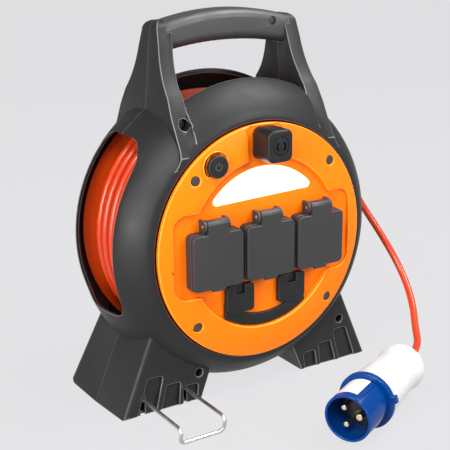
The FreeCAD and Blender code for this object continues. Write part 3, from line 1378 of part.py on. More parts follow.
def rounded_route(points, share=0.45):
    """Straight runs joined by arcs as large as the runs allow."""
    edges = []
    radii = []
    last = points[0]
    for before, corner, after in zip(points, points[1:], points[2:]):
        toward = (corner - before).normalize()
        onward = (after - corner).normalize()
        trim = share * min((corner - before).Length, (after - corner).Length)
        first, second = corner - toward * trim, corner + onward * trim
        half_turn = toward.getAngle(onward) / 2
        radii.append(trim / math.tan(half_turn))
        edges.append(Part.LineSegment(last, first).toShape())
        edges.append(arc_from(first, toward, second))
        last = second
    edges.append(Part.LineSegment(last, points[-1]).toShape())
    return edges, radii


def plug_aim():
    """Turn from the X axis to the plug's axis, which climbs towards its rear."""
    collar_place = (dim.collar_front.value + dim.collar_back.value) / 2
    climb = math.degrees(math.asin(dim.plug_lift.value / collar_place))
    heading = Rotation(Vector(0, 0, 1), dim.plug_heading.value)
    return heading.multiply(Rotation(Vector(0, 1, 0), -climb))


def plug_point(along_axis, side=0, up=0):
    """Point along the plug's axis and off it."""
    front = Vector(dim.plug_x.value, dim.plug_y.value, plug_front_height().value)
    return front + plug_aim().multVec(Vector(along_axis, -side, up))


def plug_front_height():
    """Height of the front of the plug's axis, with the collar on the floor."""
    return dim.collar_radius + dim.gap - dim.plug_lift


def free_cord():
    face = FACE_Y.value
    points = [Vector(x, face + depth, height) for x, depth, height in CORD_ROUTE]
    points.append(plug_point(dim.nut_back.value + dim.cord_last_run.value))
    points.append(plug_point(dim.nut_back.value))
    edges, radii = rounded_route(points)
    print("free cord arcs, mm: " + ", ".join("%.0f" % radius for radius in radii))
    node(tube_piece("free_cord_tube", edges, dim.cord_radius.value), "free_cord")


def self_gap(edges, radius, near_stretch=12):
    """Least gap between stretches of a tube that lie more than near_stretch radii apart along it."""
    samples = []
    travelled = 0.0
    for edge in edges:
        count = max(2, int(edge.Length / radius))
        first, last = edge.ParameterRange
        for step in range(count):
            share = step / count
            samples.append((travelled + edge.Length * share, edge.valueAt(first + (last - first) * share)))
        travelled += edge.Length
    least = travelled
    for number, (place_along, point) in enumerate(samples):
        for other_along, other in samples[number + 1:]:
            if other_along - place_along > radius * near_stretch:
                least = min(least, point.distanceToPoint(other))
    return least - 2 * radius


def winding():
    """Plain wound core and the outer layer of turns as one tube with straight ends."""
    near, far = dim.winding_core_front, dim.winding_core_back
    core_radius = dim.winding_radius - dim.cord_radius - dim.gap
    core = ring("winding_core", core_radius, dim.drum_radius, near, far)
    node(core, "winding_core")
    radius = dim.cord_radius.value
    span = dim.winding_core_back - dim.winding_front - dim.cord_radius
    turns = math.floor(span.value / dim.winding_pitch.value * 4) / 4
    edges, (start, start_heading), (end, end_heading) = helix_edges(
        dim.winding_radius.value, turns, dim.winding_pitch.value * turns)
    lead = Part.LineSegment(start - start_heading * radius * 2, start).toShape()
    tail = Part.LineSegment(end, end + end_heading * radius * 2).toShape()
    edges = [lead] + edges + [tail]
    print("winding: %.2f turns, least gap to itself %.2f mm" % (turns, self_gap(edges, radius)))
    coil = tube_piece("cable_winding_tube", edges, radius)
    turn_start = Rotation(Vector(0, 0, 1), dim.winding_start.value)
    front = Vector(0, at_depth(dim.winding_front).value, AXIS_Z.value)
    coil.Placement = Placement(front, TO_Y.multiply(turn_start))
    node(coil, "cable_winding")


def wiring():
    """Strain relief and terminals behind the outlets."""
    x = dim.drum_radius - dim.wall - dim.gland_length
    gland = rod("gland", "x", dim.gland_radius, (x, at_depth(dim.half_depth), AXIS_Z), dim.gland_length)
    bore = rod("gland_bore", "x", dim.cord_radius, (x - dim.past, at_depth(dim.half_depth), AXIS_Z),
               dim.gland_length + dim.past * 2)
    trim = drum_rod("gland_room", dim.drum_radius - dim.wall, dim.flange_set, mirrored(dim.flange_set))
    node(common("cord_gland", cut("cord_gland", gland, bore), trim), "cord_gland")
    low = -dim.terminal_low
    half = dim.terminal_half
    web = mirrored(dim.flange_set + dim.flange_thick) - dim.wall
    block = box("terminal_box", (-half, half), (at_depth(web - dim.terminal_deep), at_depth(web)),
                (above_axis(low), above_axis(low + dim.terminal_high)))
    wells = []
    for number in range(3):
        wells.append(spot_rod("terminal_well_%d" % (number + 1), dim.screw_shank,
                              (number - 1) * dim.terminal_pitch, low + dim.terminal_high / 2,
                              web - dim.terminal_deep - dim.past, web - dim.terminal_deep / 2))
    node(cut("terminal_block", block, *wells), "terminal_block")


# Wire stand

def stand():
    low = dim.wire_radius + dim.stand_floor_gap
    arm_up = dim.stand_arm_high
    front = at_depth(-dim.stand_reach + dim.wire_radius)
    foot_y = front + dim.stand_slant
    end = mirrored(dim.foot_rear) - dim.wall * 2 - dim.stand_travel
    inner_y = at_depth(end)
    left, right = -dim.stand_left, -dim.stand_right
    corners_of_wire = (
        (left, inner_y, arm_up), (left, front, arm_up), (left, foot_y, low),
        (right, foot_y, low), (right, front, arm_up), (right, inner_y, arm_up))
    points = [Vector(x.value, y.value, z.value) for x, y, z in corners_of_wire]
    edges = []
    last = points[0]
    for before, corner, after in zip(points, points[1:], points[2:]):
        toward = (corner - before).normalize()
        onward = (after - corner).normalize()
        trim = dim.stand_bend.value * math.tan(toward.getAngle(onward) / 2)
        edges.append(Part.LineSegment(last, corner - toward * trim).toShape())
        edges.append(arc_from(corner - toward * trim, toward, corner + onward * trim))
        last = corner + onward * trim
    edges.append(Part.LineSegment(last, points[-1]).toShape())
    node(tube_piece("stand_wire", edges, dim.wire_radius.value), "stirrup_wire")
    rings = []
    guide_near = guide_front()
    guide_deep = inner_y - dim.stop_length - dim.gap - guide_near
    guide_parts = []
    guide_bores = []
    half = dim.wire_radius + dim.guide_gap + dim.guide_wall
    for side_name, x in (("_left", left), ("_right", right)):
        outer = rod("stop" + side_name, "y", dim.stop_radius, (x, inner_y - dim.stop_length, arm_up),
                    dim.stop_length)
        inner = rod("stop_bore" + side_name, "y", dim.wire_radius,
                    (x, inner_y - dim.stop_length * 2, arm_up), dim.stop_length * 3)
        rings.append(cut("stop" + side_name, outer, inner))
        guide_parts.append(box("guide_block" + side_name, (x - half, x + half),
                               (guide_near, guide_near + guide_deep), (arm_up - half, arm_up + half)))
        guide_bores.append(rod("guide_bore" + side_name, "y", dim.wire_radius + dim.guide_gap,
                               (x, guide_near - dim.past, arm_up), guide_deep + dim.past * 2))
    node(group("stirrup_stops", *rings), "stirrup_stops")
    tie = box("guide_tie", (left, right), (guide_near, guide_near + guide_deep / 3),
              (arm_up - half, arm_up - half + dim.guide_wall))
    node(cut("stirrup_guide", fuse("stirrup_guide", *guide_parts, tie), *guide_bores), "stirrup_guide")


# Plug: turned pieces about its own axis

def plug_turned(name, points):
    body = turned(name, points, (dim.plug_x, dim.plug_y, plug_front_height()))
    body.Placement = Placement(body.Placement.Base, plug_aim().multiply(Rotation(Vector(0, 0, 1), -90)))
    return body


def plug_rod(name, radius, side, up, near, far):
    """Cylinder along the plug, off its axis."""
    thing = doc.addObject("Part::Cylinder", name)
    thing.Radius = radius.value
    thing.Height = (far - near).value
    bind(thing, "Radius", radius)
    bind(thing, "Height", far - near)
    thing.Placement = Placement(plug_point(near.value, side, up), plug_aim().multiply(TO_X))
    return thing


def plug_ridge(name, half, inner, outer, near, far, degrees):
    """Block on the plug at an angle above its side, from an inner to an outer radius."""
    thing = doc.addObject("Part::Box", name)
    for prop, size in (("Length", far - near), ("Width", half * 2), ("Height", outer - inner)):
        setattr(thing, prop, size.value)
        bind(thing, prop, size)
    turn = plug_aim().multiply(Rotation(Vector(1, 0, 0), 90 - degrees.value))
    offset = turn.multVec(Vector(0, -half.value, inner.value))
    thing.Placement = Placement(plug_point(near.value) + offset, turn)
    return thing


# Pins of the plug: angle above its side in degrees, radius
PLUG_PINS = ((-111, dim.live_pin), (129, dim.live_pin), (9, dim.earth_pin))


def plug():
    outer, inner = dim.shroud_radius, dim.shroud_radius - dim.shroud_wall
    collar = dim.collar_radius
    back = dim.collar_back
    shroud = plug_turned("plug_shroud_turned", [
        (inner, ZERO), (outer, ZERO), (outer, dim.collar_front), (collar, dim.collar_front), (collar, back),
        (inner, back)])
    within = outer - dim.shroud_wall / 2
    key = plug_ridge("key_ridge", dim.key_half, within, outer + dim.key_high, ZERO, dim.key_length,
                     dim.key_angle)
    lug = plug_ridge("collar_lug", dim.lug_half, within, dim.lug_reach, dim.collar_front, back,
                     dim.lug_angle)
    node(fuse("plug_shroud", shroud, key, lug), "plug_shroud")
    disc_back = back - dim.collar_round
    face = plug_turned("plug_face_turned", [
        (ZERO, dim.shroud_deep), (inner, dim.shroud_deep), (inner, disc_back), (ZERO, disc_back)])
    pins = []
    spaces = []
    for number, (degrees, radius) in enumerate(PLUG_PINS):
        angle = math.radians(degrees)
        side = dim.pin_circle.value * math.cos(angle)
        up = dim.pin_circle.value * math.sin(angle)
        pins.append(plug_rod("plug_pin_%d" % number, radius, side, up, dim.pin_front, disc_back))
        spaces.append(plug_rod("plug_pin_space_%d" % number, radius, side, up, dim.pin_front, disc_back))
    node(cut("plug_face", face, *spaces), "plug_face")
    node(group("plug_pins", *pins), "plug_pins")
    round_front = dim.body_length - dim.body_round
    node(plug_turned("plug_body_turned", [
        (dim.nut_radius, back), (dim.body_front_radius, back), (dim.waist_radius, dim.waist_place),
        (dim.flare_radius, dim.flare_place), (dim.flare_radius, round_front, dim.body_round, 1),
        (dim.flare_radius - dim.body_round, dim.body_length), (dim.nut_radius, dim.body_length)]),
        "plug_body")
    node(plug_turned("plug_nut_turned", [
        (dim.cord_radius, round_front), (dim.nut_radius, round_front),
        (dim.nut_radius, dim.nut_back - dim.collar_round), (dim.nut_radius - dim.collar_round, dim.nut_back),
        (dim.cord_radius, dim.nut_back)]), "plug_nut")


def check_and_write():
    """Refuse a failed or broken piece, then write each sub-part."""
    doc.recompute()
    failed = [item.Name for item in doc.Objects if "Invalid" in item.State or "Error" in item.State]
    if failed:
        raise RuntimeError("failed: " + ", ".join(failed))
    os.makedirs("parts", exist_ok=True)
    for thing in nodes:
        shape = thing.Shape
        if shape.isNull() or not shape.isValid() or not shape.Solids:
            raise RuntimeError("broken: " + thing.Label)
        shape.exportStep("parts/%s.step" % thing.Label)
        print("%-18s solids %d, volume %.0f mm3" % (thing.Label, len(shape.Solids), shape.Volume))


housing()
grip()
fasteners()
drum_halves()
face_screws()
face_plate()
outlets()
lamp()
button()
bracket()
knob()
free_cord()
winding()
wiring()
stand()
plug()
check_and_write()
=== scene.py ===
import json
import math
import random

import bmesh
import bpy
from mathutils import Matrix, Vector
from mathutils.bvhtree import BVHTree


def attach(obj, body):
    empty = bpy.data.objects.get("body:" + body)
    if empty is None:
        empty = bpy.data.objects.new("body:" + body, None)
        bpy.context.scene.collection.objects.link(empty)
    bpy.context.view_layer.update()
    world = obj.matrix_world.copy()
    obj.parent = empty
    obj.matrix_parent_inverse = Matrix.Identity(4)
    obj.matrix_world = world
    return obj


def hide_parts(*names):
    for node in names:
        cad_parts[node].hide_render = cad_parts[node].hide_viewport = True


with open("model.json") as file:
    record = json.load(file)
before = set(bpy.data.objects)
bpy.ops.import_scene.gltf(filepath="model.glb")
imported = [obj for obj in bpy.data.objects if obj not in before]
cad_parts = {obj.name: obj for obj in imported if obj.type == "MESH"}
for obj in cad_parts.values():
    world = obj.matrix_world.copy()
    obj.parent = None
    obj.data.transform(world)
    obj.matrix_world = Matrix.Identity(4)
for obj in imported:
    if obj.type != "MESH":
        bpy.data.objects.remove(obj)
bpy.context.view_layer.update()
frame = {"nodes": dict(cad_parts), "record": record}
NODES = frame["nodes"]
SLOT_OF = {item["node"]: item["material_slot"] for item in frame["record"]["subparts"]}
BODY_OF = {name: body for body, names in frame["record"]["behaviour"]["bodies"].items() for name in names}

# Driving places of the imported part, in metres

MM = 0.001
FACE_Y = -0.042
AXIS = Vector((0.0, FACE_Y, 0.156))
CORD_DIAMETER = 0.0075
PARTING_Y = FACE_Y + 0.071  # where the two half shells meet
PLUG_FRONT = Vector((-0.00037, -0.17274, 0.026453))
PLUG_HEADING = math.radians(25.29)
PLUG_CLIMB = math.radians(1.232)
PLUG_LENGTH = 0.134
SHROUD_RADIUS = 0.02234
BUTTON = (-0.0541, 0.0810)  # across and above the drum axis
KNOB = (0.0, 0.0966)
BUTTON_FRONT = -0.0085  # from FACE_Y, negative towards the viewer
KNOB_FRONT = -0.028


# Camera, as the photograph was taken

AZIMUTH = math.radians(-32.4)
ELEVATION = math.radians(16.6)
ROLL = math.radians(-0.5)
DISTANCE = 0.9533
AIM_RIGHT = -0.0363
AIM_UP = 0.0159
LENS = 80.42
SENSOR = 36.0


def make_camera():
    back = Vector((math.sin(AZIMUTH) * math.cos(ELEVATION), -math.cos(AZIMUTH) * math.cos(ELEVATION),
                   math.sin(ELEVATION)))
    right = Vector((math.cos(AZIMUTH), math.sin(AZIMUTH), 0.0))
    up = back.cross(right)
    target = AXIS + right * AIM_RIGHT + up * AIM_UP
    turned_right = right * math.cos(ROLL) + up * math.sin(ROLL)
    turned_up = up * math.cos(ROLL) - right * math.sin(ROLL)
    data = bpy.data.cameras.new("camera")
    data.lens = LENS
    data.sensor_width = SENSOR
    data.sensor_fit = "HORIZONTAL"
    data.clip_end = 20.0
    camera = bpy.data.objects.new("camera", data)
    bpy.context.scene.collection.objects.link(camera)
    axes = Matrix((turned_right, turned_up, back)).transposed().to_4x4()
    camera.matrix_world = Matrix.Translation(target + back * DISTANCE) @ axes
    bpy.context.scene.camera = camera
    bpy.context.scene.view_settings.view_transform = "Standard"


# Materials

def new_material(name):
    material = bpy.data.materials.new(name)
    material.use_nodes = True
    tree = material.node_tree
    return material, tree, tree.nodes["Principled BSDF"]


def add_noise(tree, scale, detail, seed):
    """Noise in object space, in a place that the seed gives."""
    coords = tree.nodes.new("ShaderNodeTexCoord")
    shift = tree.nodes.new("ShaderNodeMapping")
    shift.inputs["Location"].default_value = (seed * 1.7, seed * 0.9, seed * 2.3)
    noise = tree.nodes.new("ShaderNodeTexNoise")
    noise.inputs["Scale"].default_value = scale
    noise.inputs["Detail"].default_value = detail
    tree.links.new(coords.outputs["Object"], shift.inputs["Vector"])
    tree.links.new(shift.outputs["Vector"], noise.inputs["Vector"])
    return noise


def add_ramp(tree, source, low, high, start, end):
    """Colour or value between two ends, over a stretch of the noise."""
    ramp = tree.nodes.new("ShaderNodeValToRGB")
    ramp.color_ramp.elements[0].position = low
    ramp.color_ramp.elements[1].position = high
    ramp.color_ramp.elements[0].color = start
    ramp.color_ramp.elements[1].color = end
    tree.links.new(source, ramp.inputs["Fac"])
    return ramp


def add_bump(tree, shader, height, strength, depth_mm):
    """Fine relief of the surface."""
    bump = tree.nodes.new("ShaderNodeBump")
    bump.inputs["Strength"].default_value = strength
    bump.inputs["Distance"].default_value = depth_mm * MM
    tree.links.new(height.outputs["Fac"], bump.inputs["Height"])
    tree.links.new(bump.outputs["Normal"], shader.inputs["Normal"])


def grey(value):
    return (value, value, value, 1.0)


def toned(colour, share):
    """A share of a colour, with full cover."""
    return tuple(min(1.0, part * share) for part in colour) + (1.0,)


def moulded(name, colour, rough, grain_mm=0.5, grain_depth=0.02, spread=0.12, coat=0.0, seed=1.0, shine=0.5,
            subsurface=0.0):
    """Moulded plastic: fine surface grain, a little drift of colour and of gloss."""
    material, tree, shader = new_material(name)
    drift = add_noise(tree, 9.0, 3.0, seed)
    dark, light = toned(colour, 1 - spread), toned(colour, 1 + spread)
    tint = add_ramp(tree, drift.outputs["Fac"], 0.3, 0.7, dark, light)
    tree.links.new(tint.outputs["Color"], shader.inputs["Base Color"])
    smudge = add_noise(tree, 45.0, 4.0, seed + 3)
    gloss = add_ramp(tree, smudge.outputs["Fac"], 0.3, 0.75, grey(rough - 0.05), grey(rough + 0.07))
    tree.links.new(gloss.outputs["Color"], shader.inputs["Roughness"])
    add_bump(tree, shader, add_noise(tree, 1.0 / (grain_mm * MM), 2.0, seed + 7), 1.0, grain_depth)
    shader.inputs["Coat Weight"].default_value = coat
    shader.inputs["Coat Roughness"].default_value = 0.12
    shader.inputs["Specular IOR Level"].default_value = shine
    shader.inputs["Subsurface Weight"].default_value = subsurface
    shader.inputs["Subsurface Radius"].default_value = (0.004, 0.002, 0.001)
    return material


def metal(name, colour, rough, brush=0.0, seed=5.0, grain=0.4):
    """Bare metal with faint scratches."""
    material, tree, shader = new_material(name)
    wear = add_noise(tree, 140.0, 5.0, seed)
    tint = add_ramp(tree, wear.outputs["Fac"], 0.3, 0.7, toned(colour, 0.86), toned(colour, 1.0))
    tree.links.new(tint.outputs["Color"], shader.inputs["Base Color"])
    gloss = add_ramp(tree, wear.outputs["Fac"], 0.3, 0.7, grey(rough), grey(rough + 0.1))
    tree.links.new(gloss.outputs["Color"], shader.inputs["Roughness"])
    add_bump(tree, shader, add_noise(tree, 900.0, 2.0, seed + 1), grain, 0.01 + brush)
    shader.inputs["Metallic"].default_value = 1.0
    return material


def glowing(name, colour, strength):
    """Frosted lens of the lamp, lit from behind and a little brighter in random patches."""
    material, tree, shader = new_material(name)
    patches = add_noise(tree, 60.0, 1.0, 2.0)
    glow = add_ramp(tree, patches.outputs["Fac"], 0.3, 0.7, toned(colour, 0.93), toned(colour, 1.0))
    tree.links.new(glow.outputs["Color"], shader.inputs["Base Color"])
    tree.links.new(glow.outputs["Color"], shader.inputs["Emission Color"])
    shader.inputs["Emission Strength"].default_value = strength
    shader.inputs["Roughness"].default_value = 0.35
    add_bump(tree, shader, add_noise(tree, 1500.0, 2.0, 4.0), 1.0, 0.01)
    return material


# Plastic: name, colour, roughness, width and depth of the grain in mm, spread of the colour
MATERIALS = {
    "housing_plastic": moulded("housing_plastic", (0.013, 0.013, 0.0134), 0.46, 0.55, 0.030, 0.10, seed=1.0,
                               shine=0.25),
    "grip_plastic": moulded("grip_plastic", (0.026, 0.026, 0.0265), 0.46, 0.55, 0.030, 0.10, seed=2.0,
                            shine=0.6),
    "orange_plastic": moulded("orange_plastic", (0.93, 0.168, 0.0010), 0.40, 0.5, 0.008, 0.03, seed=3.0,
                              shine=0.15),
    "drum_plastic": moulded("drum_plastic", (0.50, 0.042, 0.0008), 0.45, 0.5, 0.01, 0.06, seed=4.0,
                            shine=0.3),
    "cover_plastic": moulded("cover_plastic", (0.026, 0.026, 0.027), 0.40, 0.45, 0.02, 0.10, seed=5.0,
                             shine=0.35),
    "insert_plastic": moulded("insert_plastic", (0.012, 0.012, 0.014), 0.45, 0.5, 0.01, 0.10, seed=6.0),
    "cable_jacket": moulded("cable_jacket", (0.50, 0.038, 0.007), 0.26, 0.9, 0.004, 0.08, coat=0.06,
                            seed=7.0, shine=0.5),
    "seal_rubber": moulded("seal_rubber", (0.015, 0.015, 0.015), 0.7, 0.4, 0.02, 0.10, seed=8.0),
    "bright_wire": metal("bright_wire", (0.60, 0.58, 0.56), 0.30, seed=5.0, grain=0.02),
    "steel": metal("steel", (0.55, 0.56, 0.58), 0.32, 0.004, seed=6.0),
    "black_screw": moulded("black_screw", (0.030, 0.027, 0.025), 0.35, 0.3, 0.01, 0.15, seed=9.0),
    "contact_metal": metal("contact_metal", (0.82, 0.72, 0.50), 0.2, seed=7.0),
    "lens_white": glowing("lens_white", (1.0, 0.99, 0.96), 2.2),
    "board_green": moulded("board_green", (0.02, 0.12, 0.04), 0.4, 0.6, 0.02, 0.2, seed=10.0),
    "plug_blue": moulded("plug_blue", (0.0, 0.032, 0.165), 0.18, 0.8, 0.004, 0.08, shine=0.2, seed=11.0),
    "plug_white": moulded("plug_white", (0.56, 0.56, 0.565), 0.30, 0.8, 0.006, 0.02, seed=12.0,
                          subsurface=0.08),
}

# Tones that some pieces have instead, the lighter tones of small edges, which paint highlights on them,
# those of the marks, and the black of painted shade in the knob cap's grooves

KNOB_BLACK = moulded("knob_black", (0.009, 0.009, 0.0095), 0.42, 0.45, 0.02, 0.10, seed=28.0, shine=0.28)
# A lighter tone on the knob's edges, as a painted highlight.
KNOB_EDGE_HIGHLIGHT = moulded("knob_edge_highlight", (0.030, 0.030, 0.031), 0.40, 0.4, 0.010, 0.12, seed=29.0, shine=0.4)
DARKER_PIECES = {"winding_knob", "knob_cap", "parking_bracket", "light_button"}
# Lighter tones on bevelled edges: painted highlights.
EDGE_HIGHLIGHTS = {
    "housing_plastic": moulded("housing_edge_highlight", (0.100, 0.100, 0.102), 0.42, 0.4, 0.015, 0.15, seed=21.0),
    "grip_plastic": moulded("grip_edge_highlight", (0.070, 0.070, 0.073), 0.42, 0.4, 0.015, 0.15, seed=22.0),
    "cover_plastic": moulded("cover_edge_highlight", (0.075, 0.073, 0.073), 0.38, 0.4, 0.01, 0.12, seed=23.0),
    "orange_plastic": moulded("orange_edge_highlight", (0.98, 0.29, 0.012), 0.34, 0.4, 0.006, 0.03, seed=24.0),
}
MARK_GREY = moulded("mark_grey", (0.060, 0.060, 0.062), 0.45, 0.3, 0.004, 0.10, seed=25.0)
# Black of painted shade, laid where the knob cap's grooves and rim would be in shade.
GROOVE_SHADE = moulded("groove_painted_shade", (0.002, 0.002, 0.002), 0.7, 0.3, 0.004, 0.10, seed=26.0, shine=0.0)
LABEL_WHITE = moulded("label_white", (0.62, 0.59, 0.58), 0.42, 0.3, 0.003, 0.02, seed=27.0)


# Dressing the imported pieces: soft moulded edges on a copy of each mesh

BEVEL_MM = {
    "front_shell": 0.8, "rear_shell": 0.8, "grip_front": 0.7, "grip_rear": 0.7, "face_plate": 0.7,
    "parking_bracket": 1.3, "winding_knob": 0.7, "knob_cap": 0.4, "light_button": 0.7,
    "plug_shroud": 0.6, "plug_body": 1.2, "plug_nut": 0.6, "drum_front": 0.5, "drum_rear": 0.5,
    "lamp_lens": 0.5}
FULL_EDGES = {"front_shell", "rear_shell", "face_plate"}  # their small faces don't narrow the edges
BEVEL_DEFAULT_MM = 0.3
BEVEL_FAMILIES = {"socket_flap": 0.5, "socket_frame": 0.6}
SHARP = math.radians(28.0)
STILL_SHARP = math.radians(40.0)  # after the edges are made soft
SEAM_SHARE = 0.12  # width of the edges along the parting plane
HELD_SHARE = 0.6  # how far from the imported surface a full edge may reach, in edge widths
SAME_PLACE = 0.00001
ON_PLANE = 0.0001
FLAT = math.radians(0.6)
PLAIN_SLOT = 0
HIGHLIGHT_SLOT = 1


def family(name):
    return name.rsplit("_", 1)[0] if name[-1].isdigit() else name


def bevel_width(name):
    return BEVEL_MM.get(name, BEVEL_FAMILIES.get(family(name), BEVEL_DEFAULT_MM)) * MM


def clean_copy(name):
    """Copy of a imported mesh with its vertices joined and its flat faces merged."""
    copy = bpy.data.objects.new("fine_" + name, NODES[name].data.copy())
    bpy.context.scene.collection.objects.link(copy)
    mesh = bmesh.new()
    mesh.from_mesh(copy.data)
    bmesh.ops.remove_doubles(mesh, verts=mesh.verts, dist=SAME_PLACE)
    bmesh.ops.dissolve_limit(mesh, angle_limit=FLAT, verts=mesh.verts, edges=mesh.edges)
    mesh.to_mesh(copy.data)
    mesh.free()
    copy.data.materials.clear()
    plain = KNOB_BLACK if name in DARKER_PIECES else MATERIALS[SLOT_OF[name]]
    # The second tone paints a highlight on the bevelled edges.
    edge = KNOB_EDGE_HIGHLIGHT if name in DARKER_PIECES else EDGE_HIGHLIGHTS.get(SLOT_OF[name], plain)
    copy.data.materials.append(plain)
    copy.data.materials.append(edge)
    for face in copy.data.polygons:
        face.material_index = PLAIN_SLOT
    return copy


def smooth(piece):
    """Smooth shading with hard edges kept where faces turn sharply."""
    piece.data.shade_smooth()
    mesh = bmesh.new()
    mesh.from_mesh(piece.data)
    for edge in mesh.edges:
        edge.smooth = len(edge.link_faces) == 2 and edge.calc_face_angle(0.0) < STILL_SHARP
    mesh.to_mesh(piece.data)
    mesh.free()


def apply_modifiers(piece):
    graph = bpy.context.evaluated_depsgraph_get()
    baked = bpy.data.meshes.new_from_object(piece.evaluated_get(graph))
    piece.modifiers.clear()
    old = piece.data
    piece.data = baked
    bpy.data.meshes.remove(old)


def weigh_edges(piece):
    """Give sharp outer edges their full width, and little of it where the two half shells meet."""
    mesh = bmesh.new()
    mesh.from_mesh(piece.data)
    layers = mesh.edges.layers.float
    weights = layers.get("bevel_weight_edge") or layers.new("bevel_weight_edge")
    for edge in mesh.edges:
        sharp = len(edge.link_faces) == 2 and edge.calc_face_angle(0.0) >= SHARP and edge.is_convex
        seam = all(abs(corner.co.y - PARTING_Y) < ON_PLANE for corner in edge.verts)
        edge[weights] = (SEAM_SHARE if seam else 1.0) if sharp else 0.0
    mesh.to_mesh(piece.data)
    mesh.free()


def surface_of(piece):
    return BVHTree.FromPolygons([corner.co for corner in piece.data.vertices],
                                [tuple(face.vertices) for face in piece.data.polygons])


def hold_near(piece, surface, reach):
    """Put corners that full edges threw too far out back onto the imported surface."""
    for corner in piece.data.vertices:
        place, _, _, distance = surface.find_nearest(corner.co)
        if distance > reach:
            corner.co = place


def bevelled(piece, width, clamped):
    """Soft edges in a lighter tone that paints a highlight on them, which the piece's small faces narrow if
    they are clamped.
    """
    surface = surface_of(piece)
    weigh_edges(piece)
    modifier = piece.modifiers.new("edges", "BEVEL")
    modifier.width = width
    modifier.segments = 3
    modifier.limit_method = "WEIGHT"
    # Bevel faces take the lighter tone of a painted highlight.
    modifier.material = HIGHLIGHT_SLOT
    modifier.use_clamp_overlap = clamped
    modifier.harden_normals = False
    apply_modifiers(piece)
    if not clamped:
        hold_near(piece, surface, width * HELD_SHARE)
    smooth(piece)


def finish_piece(piece, name, replaced=None):
    """Material, body and the node that the piece stands for."""
    if not piece.data.materials:
        piece.data.materials.append(MATERIALS[SLOT_OF[name]])
    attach(piece, BODY_OF[name])
    if replaced:
        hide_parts(*replaced)
    return piece


def dress(name):
    piece = clean_copy(name)
    bevelled(piece, bevel_width(name), name not in FULL_EDGES)
    return finish_piece(piece, name, [name])


# Free cord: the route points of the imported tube, in metres

CORD_ROUTE = (
    (0.088, 0.034, 0.254), (0.116, 0.034, 0.229), (0.141, 0.033, 0.203), (0.163, 0.029, 0.174),
    (0.179, 0.023, 0.145), (0.1905, 0.012, 0.122), (0.1985, -0.008, 0.0935), (0.196, -0.032, 0.070),
    (0.184, -0.056, 0.0525), (0.169, -0.075, 0.043))
CORD_LAST_RUN = 0.034
PLUG_AXIS = Vector((math.cos(PLUG_HEADING) * math.cos(PLUG_CLIMB),
                    math.sin(PLUG_HEADING) * math.cos(PLUG_CLIMB), math.sin(PLUG_CLIMB)))
PLUG_SIDE = Vector((math.sin(PLUG_HEADING), -math.cos(PLUG_HEADING), 0.0))
PLUG_UP = PLUG_SIDE.cross(PLUG_AXIS)


def plug_point(along, radius=0.0, degrees=0.0):
    """Point along the plug's axis, or off it at an angle above its side."""
    angle = math.radians(degrees)
    outward = PLUG_SIDE * math.cos(angle) + PLUG_UP * math.sin(angle)
    return PLUG_FRONT + PLUG_AXIS * along + outward * radius


def spline_curve(name, points, radius):
    data = bpy.data.curves.new(name, "CURVE")
    data.dimensions = "3D"
    data.resolution_u = 16
    data.bevel_depth = radius
    data.bevel_resolution = 8
    data.use_fill_caps = True
    line = data.splines.new("NURBS")
    line.points.add(len(points) - 1)
    for point, place in zip(line.points, points):
        point.co = (*place, 1.0)
    line.order_u = 3
    line.use_endpoint_u = True
    piece = bpy.data.objects.new(name, data)
    bpy.context.scene.collection.objects.link(piece)
    return piece


def make_free_cord():
    points = [Vector(place) for place in CORD_ROUTE]
    points += [plug_point(PLUG_LENGTH + CORD_LAST_RUN), plug_point(PLUG_LENGTH)]
    cord = spline_curve("free_cord_line", points, CORD_DIAMETER / 2)
    cord.data.materials.append(MATERIALS["cable_jacket"])
    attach(cord, "root")
    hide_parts("free_cord")
    return cord


# Wound cord

WINDING_RADIUS = 0.122
WINDING_FRONT = 0.0265
WINDING_PITCH = 0.0117
WINDING_TURNS = 7
LAYER_STEP = 0.0062
LOWER_PITCH = 0.0079
LOWER_FRONT = 0.0275
LOWER_TURNS = 11
INNER_FRONT = 0.0315
INNER_TURNS = 10.5
STEPS_PER_TURN = 48
TUBE_SIDES = 12


def wound_tube(name, radius, front, pitch, turns, start_deg, wander, seed):
    """Tube wound about the drum axis, with small changes of pitch and radius along it."""
    random.seed(seed)
    phases = [random.uniform(0, 2 * math.pi) for _ in range(3)]
    centres = []
    for step in range(int(STEPS_PER_TURN * turns) + 1):
        turn = step / STEPS_PER_TURN
        angle = math.radians(start_deg) - turn * 2 * math.pi
        drift = wander * (math.sin(turn * 2.1 + phases[0]) + 0.6 * math.sin(turn * 4.7 + phases[1]))
        lift = wander * 0.2 * (1 + math.sin(turn * 3.3 + phases[2]))
        reach = radius + lift
        centres.append(Vector((reach * math.sin(angle), FACE_Y + front + pitch * turn + drift,
                               AXIS.z + reach * math.cos(angle))))
    return tube_mesh(name, centres, CORD_DIAMETER / 2, TUBE_SIDES)


def mesh_piece(name, mesh):
    """Object with the faces of an edit mesh, which is freed."""
    bmesh.ops.recalc_face_normals(mesh, faces=mesh.faces)
    data = bpy.data.meshes.new(name)
    mesh.to_mesh(data)
    mesh.free()
    data.shade_smooth()
    piece = bpy.data.objects.new(name, data)
    bpy.context.scene.collection.objects.link(piece)
    return piece


def tube_mesh(name, centres, radius, sides):
    """Closed tube about a line of points."""
    mesh = bmesh.new()
    rings = []
    reference = Vector((0.0, 1.0, 0.0))
    for number, centre in enumerate(centres):
        ahead = centres[min(number + 1, len(centres) - 1)] - centres[max(number - 1, 0)]
        ahead.normalize()
        side = (reference - ahead * reference.dot(ahead)).normalized()
        other = ahead.cross(side)
        rings.append([mesh.verts.new(centre + (side * math.cos(a) + other * math.sin(a)) * radius)
                      for a in (2 * math.pi * k / sides for k in range(sides))])
    for first, second in zip(rings, rings[1:]):
        for k in range(sides):
            mesh.faces.new((first[k], first[(k + 1) % sides], second[(k + 1) % sides], second[k]))
    mesh.faces.new(list(reversed(rings[0])))
    mesh.faces.new(rings[-1])
    return mesh_piece(name, mesh)


